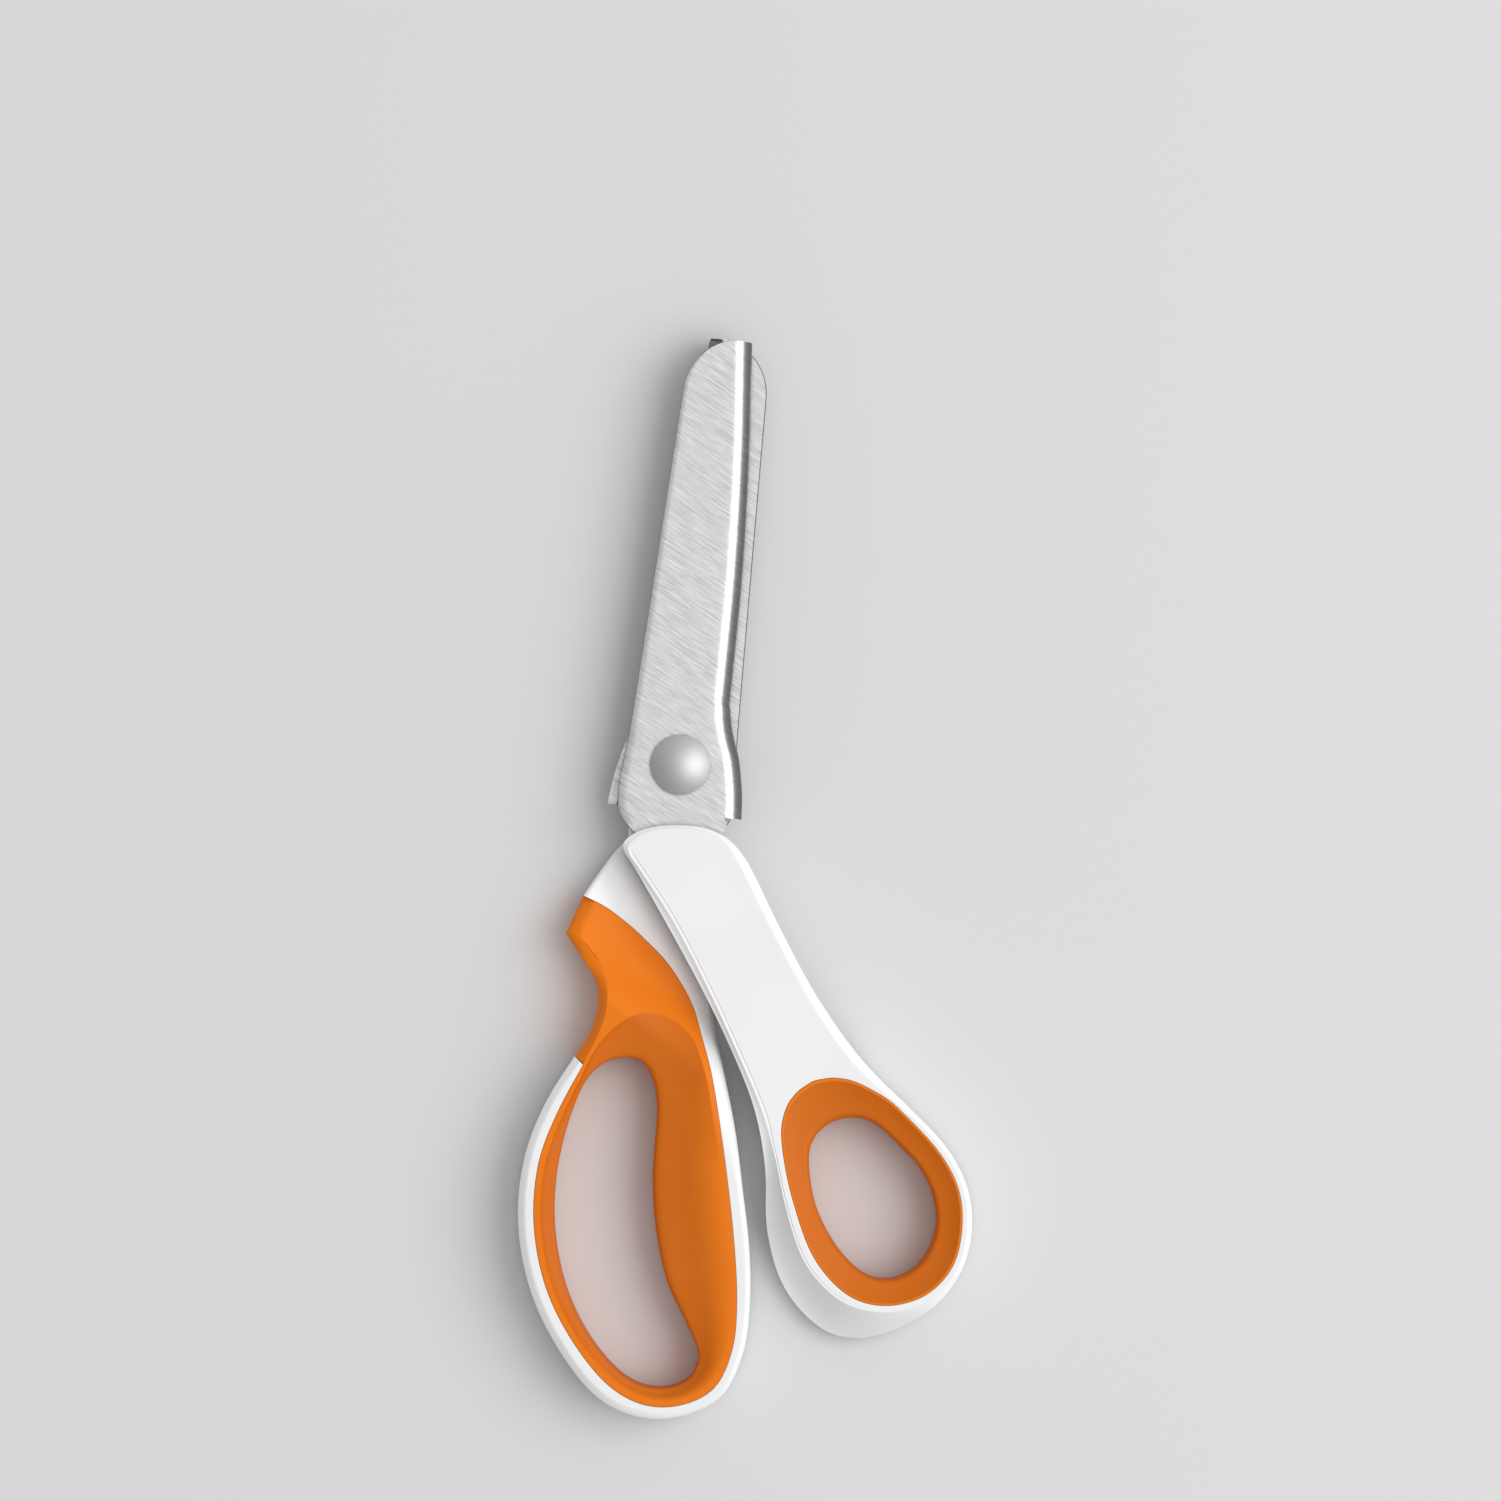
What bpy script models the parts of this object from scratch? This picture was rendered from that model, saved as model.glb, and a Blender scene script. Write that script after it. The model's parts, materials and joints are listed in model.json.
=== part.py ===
"""Pinking shears lying flat and closed: two blades, their pivot, two rigid handles and two soft grips."""

import math

import bmesh
import bpy
from mathutils import Vector

MM = 0.001

# Where the pivot axis stands: the box of the whole object is then centred on x = y = 0, and rests on z = 0.
PIVOT_X = -26.20
PIVOT_Y = 24.90
PIVOT_Z = 7.50

# Blade stamping. Heights are from the plane halfway between the two blade plates.
PLATE_LOW = 1.70
PLATE_HIGH = 3.70
BEND_RADIUS = 3.40
TIP_Y = 95.0
TIP_ARC_LENGTH = 12.0
TIP_ARC_WIDTH = 11.0
FLANGE_END_Y = -10.5
FLANGE_EDGE_Z = 0.20
TOOTH_START = 18.0
TOOTH_PITCH = 4.80
TOOTH_HEIGHT = 2.20
TOOTH_CLEARANCE = 0.30
WALL_STEPS = 5

# Distance along the blade, then across it.
FLANGE_LINE = [
    (-10.5, 15.0), (-5.3, 14.5), (-0.9, 13.7), (3.2, 12.7), (6.5, 11.4), (10.3, 10.1),
    (15.6, 9.25), (22.3, 8.95), (44.6, 8.3), (70.0, 6.9), (95.0, 4.7),
]
SPINE_LINE = [(-10.5, -12.7), (-5.0, -12.95), (0.0, -12.5), (8.0, -11.95), (95.0, -8.9)]
TANG_LEFT = [(-10.5, -12.7), (-12.7, -11.7), (-14.9, -9.9), (-17.5, -6.3), (-22.0, -2.5), (-31.0, 2.5)]
TANG_RIGHT = [(-10.5, 11.6), (-12.7, 11.9), (-14.9, 11.0), (-17.5, 10.8), (-22.0, 11.0), (-31.0, 11.0)]
BACK_TANG_INSET = 1.2
TANG_POCKET_GAP = 0.20

# Pivot hardware.
SHANK_RADIUS = 3.00
HOLE_RADIUS = 3.25
HEAD_RADIUS = 6.62
HEAD_DOME = 2.60
HEAD_RIM = 0.40
HEAD_WASHER_RADIUS = 6.00
HEAD_WASHER_THICKNESS = 0.30
SPACER_RADIUS = 6.20
SPRING_WASHER_RADIUS = 5.40
SPRING_WASHER_THICKNESS = 0.50
NUT_RADIUS = 5.00
NUT_THICKNESS = 2.30
NUT_SLOT_WIDTH = 1.40
NUT_SLOT_DEPTH = 0.90
FACE_GAP = 0.15
ROUND_STEPS = 40

# Handles. Heights are again from the plane between the blade plates.
FACE_Z = 6.60
REST_Z = -7.50
SHANK_GAP_Z = 0.35
EDGE_ROUND = 1.10
GRIP_GAP = 0.20
TONGUE_REACH = 2.60
TONGUE_THICKNESS = 2.80
LOOP_STEPS = 2

# The thumb half thickens towards its loop, by distance from the pivot.
THUMB_THICKEN_FROM = 56.0
THUMB_THICKEN_OVER = 26.0
# The finger half rises to the left of the thumb shank, whose left edge runs through this point this way.
FINGER_RISE_POINT = (-8.7, -16.6)
FINGER_RISE_NORMAL = (-0.853, -0.522)
FINGER_RISE_START = 9.0
FINGER_RISE_OVER = 20.0
# Past the crossing the thumb shank no longer lies over it, so it rises sooner.
FINGER_CLEAR_FROM = -42.0
FINGER_CLEAR_OVER = 26.0
FINGER_RISE_SOONER = 18.0

# Each station of the thumb handle: outline, edge of the front face, edge of the grip, and finger hole.
THUMB_STATIONS = [
    ((-9.9, -18.9), (-8.4, -19.6), (37.4, -66.3), (43.2, -74.7)),
    ((-8.5, -16.5), (-7.6, -18.0), (38.4, -65.8), (44.3, -74.1)),
    ((-4.6, -14.5), (-4.3, -15.9), (39.7, -65.4), (45.6, -73.6)),
    ((1.6, -13.3), (1.7, -14.7), (41.1, -65.0), (46.9, -73.3)),
    ((7.4, -13.3), (7.0, -14.7), (42.5, -64.8), (48.2, -73.2)),
    ((12.4, -15.0), (11.5, -16.3), (43.8, -64.8), (49.4, -73.2)),
    ((17.0, -19.1), (15.6, -20.3), (45.0, -64.8), (50.5, -73.4)),
    ((23.9, -29.6), (22.2, -30.5), (46.2, -65.0), (51.6, -73.7)),
    ((35.3, -46.2), (33.8, -47.2), (47.9, -65.4), (53.0, -74.3)),
    ((45.9, -58.3), (44.5, -59.8), (50.7, -66.4), (54.8, -75.4)),
    ((53.0, -64.5), (52.0, -65.9), (54.7, -68.2), (56.9, -77.0)),
    ((60.3, -70.0), (59.6, -71.0), (59.7, -71.8), (59.3, -78.9)),
    ((69.5, -77.9), (68.7, -78.5), (67.9, -79.0), (62.9, -81.9)),
    ((74.8, -86.2), (73.8, -86.3), (72.8, -86.5), (66.5, -87.0)),
    ((76.6, -95.5), (75.5, -95.3), (74.4, -95.1), (68.5, -93.3)),
    ((75.2, -104.5), (74.2, -103.9), (73.3, -103.3), (67.9, -99.4)),
    ((70.6, -112.2), (69.6, -111.0), (68.7, -109.8), (65.3, -104.4)),
    ((63.4, -118.3), (62.5, -114.6), (61.9, -113.2), (60.5, -107.6)),
    ((54.5, -121.9), (55.0, -115.2), (55.2, -113.6), (55.7, -107.8)),
    ((46.8, -121.1), (48.4, -113.2), (49.5, -111.5), (51.3, -105.7)),
    ((37.1, -113.1), (40.6, -106.3), (42.4, -104.9), (46.2, -100.8)),
    ((31.5, -100.4), (34.8, -94.2), (36.8, -94.0), (41.8, -94.0)),
    ((29.6, -87.2), (31.8, -85.2), (33.6, -85.2), (39.4, -86.6)),
    ((25.7, -74.2), (27.2, -74.0), (31.9, -77.2), (38.8, -81.4)),
    ((19.0, -61.6), (20.5, -62.3), (32.6, -72.2), (39.7, -78.3)),
    ((11.0, -49.1), (12.3, -48.9), (33.9, -69.7), (40.9, -76.6)),
    ((0.8, -34.7), (2.0, -33.8), (35.1, -68.2), (41.7, -75.8)),
    ((-6.5, -24.4), (-5.3, -24.3), (36.3, -67.2), (42.4, -75.2)),
]

# Each station of the finger handle: outline, edge of the grip, ridge of the funnel, and finger hole.
# The white part runs from the first station to the last; the grip alone closes the loop at the shoulder.
FINGER_STATIONS = [
    ((-17.9, -31.4), (-16.6, -31.8), (-0.4, -55.6), (-3.1, -65.9)),
    ((-15.0, -25.8), (-12.4, -33.5), (0.6, -55.6), (-2.7, -65.9)),
    ((-11.6, -20.2), (-8.6, -35.7), (1.6, -55.6), (-2.3, -65.9)),
    ((-8.3, -16.6), (-5.2, -37.9), (2.7, -55.8), (-1.8, -66.0)),
    ((-3.9, -14.3), (-2.6, -39.9), (3.8, -56.0), (-1.3, -66.1)),
    ((1.6, -13.4), (-0.5, -41.5), (4.9, -56.4), (-0.8, -66.4)),
    ((6.0, -13.6), (1.4, -43.1), (5.9, -56.8), (-0.2, -66.8)),
    ((9.6, -15.3), (3.1, -44.8), (6.9, -57.3), (0.4, -67.3)),
    ((11.2, -19.0), (4.7, -46.6), (7.8, -57.9), (1.0, -67.9)),
    ((11.2, -26.5), (6.3, -48.6), (8.8, -58.7), (1.6, -68.7)),
    ((11.3, -36.0), (8.0, -51.0), (9.8, -59.7), (2.2, -69.8)),
    ((12.3, -46.0), (9.8, -54.0), (10.8, -61.0), (2.8, -71.1)),
    ((14.2, -55.4), (11.6, -58.4), (11.8, -62.9), (3.3, -72.8)),
    ((17.6, -65.8), (15.0, -66.8), (14.0, -67.8), (4.1, -76.5)),
    ((21.9, -79.1), (18.7, -79.6), (17.6, -79.9), (4.4, -83.5)),
    ((25.1, -92.0), (22.0, -92.4), (20.9, -92.6), (5.0, -92.5)),
    ((28.2, -105.2), (24.9, -105.4), (23.8, -105.5), (7.0, -103.0)),
    ((29.8, -118.0), (26.9, -118.0), (25.9, -118.1), (10.8, -114.2)),
    ((29.4, -128.5), (27.0, -127.5), (25.9, -127.2), (16.2, -122.9)),
    ((25.8, -138.2), (24.0, -136.4), (23.0, -135.5), (19.8, -129.8)),
    ((17.2, -143.6), (17.0, -141.0), (16.8, -139.9), (18.0, -135.3)),
    ((8.4, -144.8), (9.2, -141.9), (9.7, -140.8), (12.0, -138.0)),
    ((-0.9, -141.9), (1.2, -138.9), (2.3, -138.1), (4.9, -136.8)),
    ((-10.5, -132.9), (-7.8, -130.5), (-6.5, -129.9), (-3.6, -129.9)),
    ((-18.9, -120.1), (-15.6, -118.9), (-14.2, -118.5), (-11.0, -118.9)),
    ((-23.6, -105.0), (-20.1, -104.8), (-18.6, -104.7), (-15.4, -105.4)),
    ((-23.9, -90.5), (-20.6, -91.1), (-19.2, -91.4), (-16.4, -93.0)),
    ((-20.7, -77.9), (-17.7, -79.5), (-16.6, -80.3), (-15.2, -82.0)),
    ((-15.6, -67.2), (-13.6, -69.2), (-13.0, -71.0), (-12.2, -74.6)),
]
SHOULDER_STATIONS = [
    ((-11.9, -58.0), (-11.9, -58.0), (-10.6, -63.6), (-9.9, -70.2)),
    ((-12.5, -50.8), (-12.5, -50.8), (-7.0, -59.0), (-7.6, -67.6)),
    ((-16.7, -45.4), (-16.7, -45.4), (-4.2, -56.8), (-5.8, -66.6)),
    ((-20.7, -39.8), (-20.7, -39.8), (-2.0, -55.8), (-4.3, -66.1)),
]
SHOULDER_ROUND = 2.8


def clear_scene():
    for item in list(bpy.data.objects):
        bpy.data.objects.remove(item, do_unlink=True)


def collection(name):
    made = bpy.data.collections.new(name)
    bpy.context.scene.collection.children.link(made)
    return made


def material(name, colour, roughness, metallic):
    made = bpy.data.materials.new(name)
    made.use_nodes = True
    shader = made.node_tree.nodes["Principled BSDF"]
    shader.inputs["Base Color"].default_value = (*colour, 1.0)
    shader.inputs["Roughness"].default_value = roughness
    shader.inputs["Metallic"].default_value = metallic
    return made


def half_of_shears(name, home):
    """An empty on the pivot axis, which carries everything that turns together."""
    made = bpy.data.objects.new(name, None)
    made.location = (PIVOT_X * MM, PIVOT_Y * MM, PIVOT_Z * MM)
    home.objects.link(made)
    return made


def place(item, home, parent, surface=None):
    if surface:
        item.data.materials.append(surface)
    item.parent = parent
    home.objects.link(item)
    return item


def loft_object(name, verts, faces):
    """A mesh object whose points are millimetres from the pivot."""
    mesh = bpy.data.meshes.new(name)
    mesh.from_pydata([[v * MM for v in point] for point in verts], [], faces)
    shape = bmesh.new()
    shape.from_mesh(mesh)
    bmesh.ops.recalc_face_normals(shape, faces=shape.faces)
    shape.to_mesh(mesh)
    shape.free()
    return bpy.data.objects.new(name, mesh)


def cut(target, cutter):
    """Takes the cutter away from the target."""
    cutter.hide_render = True
    cutter.display_type = "WIRE"
    step = target.modifiers.new("cut " + cutter.name, "BOOLEAN")
    step.operation = "DIFFERENCE"
    step.solver = "EXACT"
    step.object = cutter


def smoothstep(value):
    value = min(max(value, 0.0), 1.0)
    return value * value * (3.0 - 2.0 * value)


def mix(a, b, share):
    return tuple(p + (q - p) * share for p, q in zip(a, b))


def curve_between(p0, p1, p2, p3, share):
    """A point between p1 and p2 on the centripetal Catmull-Rom curve through all four."""
    t1 = math.dist(p0, p1) ** 0.5
    t2 = t1 + math.dist(p1, p2) ** 0.5
    t3 = t2 + math.dist(p2, p3) ** 0.5
    t = t1 + (t2 - t1) * share
    a1 = mix(p0, p1, t / t1)
    a2 = mix(p1, p2, (t - t1) / (t2 - t1))
    a3 = mix(p2, p3, (t - t2) / (t3 - t2))
    b1 = mix(a1, a2, t / t2)
    b2 = mix(a2, a3, (t - t1) / (t3 - t1))
    return mix(b1, b2, (t - t1) / (t2 - t1))


def smooth_loop(points):
    count = len(points)
    made = []
    for i in range(count):
        near = [points[(i + k - 1) % count] for k in range(4)]
        for step in range(LOOP_STEPS):
            made.append(curve_between(*near, step / LOOP_STEPS))
    return made


def inset(loop, distance):
    """The loop, which runs clockwise, moved inwards by a small distance."""
    count = len(loop)
    made = []
    for i, here in enumerate(loop):
        ahead = Vector(loop[(i + 1) % count]) - Vector(loop[i - 1])
        inward = Vector((ahead.y, -ahead.x)).normalized()
        made.append((here[0] + inward.x * distance, here[1] + inward.y * distance))
    return made


def blend(loop_a, loop_b, share):
    return [mix(a, b, share) for a, b in zip(loop_a, loop_b)]


def toward(loop_a, loop_b, distance, most=1.0):
    """Each point of the first loop moved a distance towards its partner, up to a share of the way."""
    made = []
    for a, b in zip(loop_a, loop_b):
        made.append(mix(a, b, min(distance / math.dist(a, b), most)))
    return made


def choose(loop_a, loop_b, weights):
    """The first loop where the weight is 0, and the second where it is 1."""
    return [mix(a, b, weight) for a, b, weight in zip(loop_a, loop_b, weights)]


def ring(loop, height):
    return [(x, y, height(x, y)) for x, y in loop]


def ring_solid(name, rings, last=None):
    """Skins rings that follow one another round a section. With `last`, the sweep stops there, capped."""
    count = len(rings[0])
    span = count if last is None else last
    verts = [point for one in rings for point in one]
    faces = []
    for i in range(len(rings)):
        here = i * count
        after = ((i + 1) % len(rings)) * count
        for j in range(span):
            k = (j + 1) % count
            faces.append((here + j, here + k, after + k, after + j))
    if last is not None:
        faces.append(tuple(i * count for i in range(len(rings))))
        faces.append(tuple(i * count + last for i in range(len(rings))))
        used = sorted({index for face in faces for index in face})
        place = {index: i for i, index in enumerate(used)}
        verts = [verts[index] for index in used]
        faces = [tuple(place[index] for index in face) for face in faces]
    return loft_object(name, verts, faces)


def line_at(points, distance):
    """The smooth line through (distance, across) points, at one distance."""
    last = len(points) - 2
    i = 0
    while i < last and distance > points[i + 1][0]:
        i += 1
    (x1, y1), (x2, y2) = points[i], points[i + 1]
    x0, y0 = points[max(i - 1, 0)]
    x3, y3 = points[min(i + 2, last + 1)]
    share = (distance - x1) / (x2 - x1)
    slope1 = (y2 - y0) / (x2 - x0) * (x2 - x1)
    slope2 = (y3 - y1) / (x3 - x1) * (x2 - x1)
    cube, square = share ** 3, share ** 2
    start = (2 * cube - 3 * square + 1) * y1 + (cube - 2 * square + share) * slope1
    return start + (3 * square - 2 * cube) * y2 + (cube - square) * slope2


def spine_at(distance):
    across = line_at(SPINE_LINE, distance)
    past = distance - (TIP_Y - TIP_ARC_LENGTH)
    if past > 0:
        across += TIP_ARC_WIDTH * (1.0 - math.sqrt(max(1.0 - (past / TIP_ARC_LENGTH) ** 2, 0.0)))
    return across


def tooth_height(distance, side):
    """Height of the flange's edge. The two blades have opposite teeth, so that they mesh as they pass."""
    if distance < TOOTH_START:
        return FLANGE_EDGE_Z + TOOTH_CLEARANCE / 2
    phase = (distance - TOOTH_START) / TOOTH_PITCH
    wave = 4.0 * abs(phase - math.floor(phase + 0.5)) - 1.0
    return side * wave * TOOTH_HEIGHT / 2 + TOOTH_CLEARANCE / 2


def wall_point(bend_x, radius, edge_z, share):
    """A point on the flange's wall: round the bend from the plate, then straight down to the edge."""
    centre_z = PLATE_HIGH - BEND_RADIUS
    quarter = radius * math.pi / 2
    if edge_z < centre_z:
        total = quarter + centre_z - edge_z
    else:
        total = radius * math.acos((edge_z - centre_z) / radius)
    along = share * total
    if along > quarter:
        return bend_x + radius, centre_z - (along - quarter)
    angle = along / radius
    return bend_x + radius * math.sin(angle), centre_z + radius * math.cos(angle)


def blade_section(distance, side):
    """Points round the flanged blade, all at one distance from the pivot where there are teeth."""
    bend_x = line_at(FLANGE_LINE, distance) - BEND_RADIUS
    edge_z = tooth_height(distance, side)
    spine = spine_at(distance)
    outer = [wall_point(bend_x, BEND_RADIUS, edge_z, k / WALL_STEPS) for k in range(WALL_STEPS + 1)]
    inner_radius = BEND_RADIUS - (PLATE_HIGH - PLATE_LOW)
    inner = [wall_point(bend_x, inner_radius, edge_z, k / WALL_STEPS) for k in range(WALL_STEPS + 1)]
    flat = [(spine, PLATE_HIGH)] + outer + inner[::-1] + [(spine, PLATE_LOW)]
    arc = smoothstep((distance - 13.0) / 5.0)
    section = []
    for x, z in flat:
        drop = distance - math.sqrt(distance ** 2 - x ** 2) if arc > 0 else 0.0
        section.append((x, distance - arc * drop, z))
    return section


def blade_stations():
    plain = [TOOTH_START, 16.0, 13.5, 10.3, 6.5, 3.2, -0.9, -5.3, FLANGE_END_Y]
    toothed = []
    distance = TOOTH_START + TOOTH_PITCH / 2
    while distance < TIP_Y - 0.5:
        toothed.append(distance)
        distance += TOOTH_PITCH / 2
    return [TIP_Y] + toothed[::-1] + plain


def tang_section(index, right_inset):
    y, left = TANG_LEFT[index]
    right = TANG_RIGHT[index][1] - right_inset
    return [(left, y, PLATE_HIGH), (right, y, PLATE_HIGH), (right, y, PLATE_LOW), (left, y, PLATE_LOW)]


def blade(name, side, right_inset):
    """One stamping, seen from its outer face. The tang is a plain plate joined to the flanged part."""
    stations = blade_stations()
    count = 2 * WALL_STEPS + 4
    verts = []
    for distance in stations:
        verts += blade_section(distance, side)
    faces = [tuple(range(count))]
    for i in range(len(stations) - 1):
        for j in range(count):
            k = (j + 1) % count
            faces.append((i * count + j, i * count + k, (i + 1) * count + k, (i + 1) * count + j))
    base = (len(stations) - 1) * count
    faces.append(tuple(range(base + 1, base + count - 1)))
    corners = [base, base + 1, base + count - 2, base + count - 1]
    for index in range(1, len(TANG_LEFT)):
        after = list(range(len(verts), len(verts) + 4))
        verts += tang_section(index, right_inset)
        for j in range(4):
            k = (j + 1) % 4
            faces.append((corners[j], corners[k], after[k], after[j]))
        corners = after
    faces.append(tuple(corners))
    return loft_object(name, verts, faces)


def turn_over(item):
    """The back blade is the front stamping turned over about the line of the blades."""
    item.rotation_euler = (0.0, math.pi, 0.0)


def hole_cutter(name):
    """A plain round bar on the pivot axis."""
    mesh = bpy.data.meshes.new(name)
    shape = bmesh.new()
    bmesh.ops.create_cone(
        shape, cap_ends=True, segments=ROUND_STEPS, radius1=HOLE_RADIUS * MM, radius2=HOLE_RADIUS * MM,
        depth=12.0 * MM,
    )
    shape.to_mesh(mesh)
    shape.free()
    return bpy.data.objects.new(name, mesh)


def tang_pocket(name, right_inset):
    """The space that the tang fills inside a handle, a little larger than the tang, and open at the top."""
    left = [(x - TANG_POCKET_GAP, y) for y, x in TANG_LEFT]
    right = [(x - right_inset + TANG_POCKET_GAP, y) for y, x in TANG_RIGHT]
    left[-1] = (left[-1][0], left[-1][1] - TANG_POCKET_GAP)
    right[-1] = (right[-1][0], right[-1][1] - TANG_POCKET_GAP)
    curve = bpy.data.curves.new(name + "_outline", "CURVE")
    curve.dimensions = "2D"
    curve.fill_mode = "BOTH"
    curve.extrude = ((PLATE_HIGH - PLATE_LOW) / 2 + TANG_POCKET_GAP) * MM
    spline = curve.splines.new("POLY")
    outline = left + right[::-1]
    spline.points.add(len(outline) - 1)
    middle = (PLATE_HIGH + PLATE_LOW) / 2
    for point, (x, y) in zip(spline.points, outline):
        point.co = (x * MM, y * MM, 0.0, 1.0)
    spline.use_cyclic_u = True
    drawn = bpy.data.objects.new(name + "_outline", curve)
    bpy.context.scene.collection.objects.link(drawn)
    graph = bpy.context.evaluated_depsgraph_get()
    mesh = bpy.data.meshes.new_from_object(drawn.evaluated_get(graph))
    bpy.data.objects.remove(drawn)
    shape = bmesh.new()
    shape.from_mesh(mesh)
    bmesh.ops.remove_doubles(shape, verts=shape.verts, dist=0.00001)
    bmesh.ops.translate(shape, verts=shape.verts, vec=(0.0, 0.0, middle * MM))
    bmesh.ops.recalc_face_normals(shape, faces=shape.faces)
    shape.to_mesh(mesh)
    shape.free()
    return bpy.data.objects.new(name, mesh)


def turned(name, profile, closed=False):
    """A solid of revolution about the pivot, from (radius, height) points down its outer side."""
    mesh = bpy.data.meshes.new(name)
    edges = [(i, i + 1) for i in range(len(profile) - 1)]
    if closed:
        edges.append((len(profile) - 1, 0))
    mesh.from_pydata([(radius * MM, 0.0, z * MM) for radius, z in profile], edges, [])
    made = bpy.data.objects.new(name, mesh)
    screw = made.modifiers.new("turn", "SCREW")
    screw.steps = ROUND_STEPS
    screw.render_steps = ROUND_STEPS
    screw.use_merge_vertices = True
    screw.merge_threshold = 0.00001
    return made


def washer(name, bore, outer, low, high):
    edge = min(0.1, (high - low) / 3)
    profile = [
        (bore, high), (outer - edge, high), (outer, high - edge), (outer, low + edge),
        (outer - edge, low), (bore, low),
    ]
    return turned(name, profile, closed=True)


def nut_low():
    return -PLATE_HIGH - SPRING_WASHER_THICKNESS - 2 * FACE_GAP - NUT_THICKNESS


def pivot_bolt():
    """Domed head above the front blade, with the end of the shank just inside the nut."""
    seat = PLATE_HIGH + HEAD_WASHER_THICKNESS + 2 * FACE_GAP
    end = nut_low() + 0.4
    sphere = (HEAD_RADIUS ** 2 + HEAD_DOME ** 2) / (2 * HEAD_DOME)
    spread = math.asin(HEAD_RADIUS / sphere)
    profile = []
    for k in range(9):
        angle = spread * k / 8
        height = seat + HEAD_RIM + sphere * (math.cos(angle) - math.cos(spread))
        profile.append((sphere * math.sin(angle), height))
    profile += [(HEAD_RADIUS - 0.25, seat), (SHANK_RADIUS, seat), (SHANK_RADIUS, end + 0.4)]
    profile += [(SHANK_RADIUS - 0.4, end), (0.0, end)]
    return turned("pivot_bolt", profile)


def pivot_nut():
    low = nut_low()
    high = low + NUT_THICKNESS
    bore = SHANK_RADIUS + 0.1
    profile = [
        (bore, high), (NUT_RADIUS, high), (NUT_RADIUS, low + 0.5), (NUT_RADIUS - 0.5, low), (bore, low),
    ]
    return turned("pivot_nut", profile, closed=True)


def slot_cutter():
    mesh = bpy.data.meshes.new("nut_slot")
    shape = bmesh.new()
    bmesh.ops.create_cube(shape, size=1.0)
    size = (4 * NUT_RADIUS * MM, NUT_SLOT_WIDTH * MM, 2 * NUT_SLOT_DEPTH * MM)
    bmesh.ops.scale(shape, verts=shape.verts, vec=size)
    shape.to_mesh(mesh)
    shape.free()
    made = bpy.data.objects.new("nut_slot", mesh)
    made.location = (0.0, 0.0, nut_low() * MM)
    return made


def thumb_under(x, y):
    """Underside of the thumb half: clear of the finger half near the pivot, down to the table at the loop."""
    share = smoothstep((math.hypot(x, y) - THUMB_THICKEN_FROM) / THUMB_THICKEN_OVER)
    return SHANK_GAP_Z + (REST_Z - SHANK_GAP_Z) * share


def thumb_face(x, y):
    return FACE_Z


def finger_face(x, y):
    """Front of the finger half: under the thumb shank on the right, rising to full height on the left."""
    reach = (x - FINGER_RISE_POINT[0]) * FINGER_RISE_NORMAL[0]
    reach += (y - FINGER_RISE_POINT[1]) * FINGER_RISE_NORMAL[1]
    reach += FINGER_RISE_SOONER * smoothstep((FINGER_CLEAR_FROM - y) / FINGER_CLEAR_OVER)
    return -SHANK_GAP_Z + (FACE_Z + SHANK_GAP_Z) * smoothstep((reach - FINGER_RISE_START) / FINGER_RISE_OVER)


def finger_under(x, y):
    return REST_Z


def levels(face, under):
    """Functions for a height a share of the way down from face to underside, moved by some millimetres."""

    def at(share, shift=0.0):
        return lambda x, y: face(x, y) + (under(x, y) - face(x, y)) * share + shift

    return at


def thumb_handle():
    outline, face_edge, grip_edge, hole = [smooth_loop(loop) for loop in zip(*THUMB_STATIONS)]
    at = levels(thumb_face, thumb_under)
    seat = inset(grip_edge, -GRIP_GAP / 2)
    tongue = toward(grip_edge, hole, TONGUE_REACH)
    half = TONGUE_THICKNESS / 2
    under_edge = inset(outline, EDGE_ROUND)
    rings = [ring(outline, at(0.72))]
    rings += [ring(blend(outline, face_edge, 0.92), at(0.0, -0.5)), ring(inset(face_edge, 0.5), at(0.0))]
    rings += [ring(blend(face_edge, seat, share), at(0.0)) for share in (0.45, 0.97)]
    rings += [ring(seat, at(0.0, -0.4)), ring(seat, at(0.5, half)), ring(tongue, at(0.5, half))]
    rings += [ring(tongue, at(0.5, -half)), ring(seat, at(0.5, -half)), ring(seat, at(1.0, 0.4))]
    rings += [ring(blend(under_edge, seat, share), at(1.0)) for share in (0.97, 0.75, 0.5, 0.25, 0.0)]
    rings += [ring(outline, at(1.0, EDGE_ROUND))]
    return ring_solid("thumb_handle", rings)


def thumb_grip():
    hole = smooth_loop([station[3] for station in THUMB_STATIONS])
    edge = inset(smooth_loop([station[2] for station in THUMB_STATIONS]), GRIP_GAP / 2)
    at = levels(thumb_face, thumb_under)
    slot = toward(edge, hole, TONGUE_REACH + GRIP_GAP)
    half = TONGUE_THICKNESS / 2 + GRIP_GAP
    rings = [ring(edge, at(0.0, -0.6)), ring(inset(edge, 0.6), at(0.0))]
    rings.append(ring(blend(edge, hole, 0.5), at(0.06)))
    rings += [ring(blend(edge, hole, 0.88), at(0.2)), ring(hole, at(0.38)), ring(hole, at(0.62))]
    rings += [ring(blend(edge, hole, 0.88), at(0.8)), ring(blend(edge, hole, 0.5), at(0.94))]
    rings += [ring(inset(edge, 0.6), at(1.0)), ring(edge, at(1.0, 0.6)), ring(edge, at(0.5, -half))]
    rings += [ring(slot, at(0.5, -half)), ring(slot, at(0.5, half)), ring(edge, at(0.5, half))]
    return ring_solid("thumb_grip", rings)


def finger_loops():
    stations = FINGER_STATIONS + SHOULDER_STATIONS
    return [smooth_loop(loop) for loop in zip(*stations)]


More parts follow.
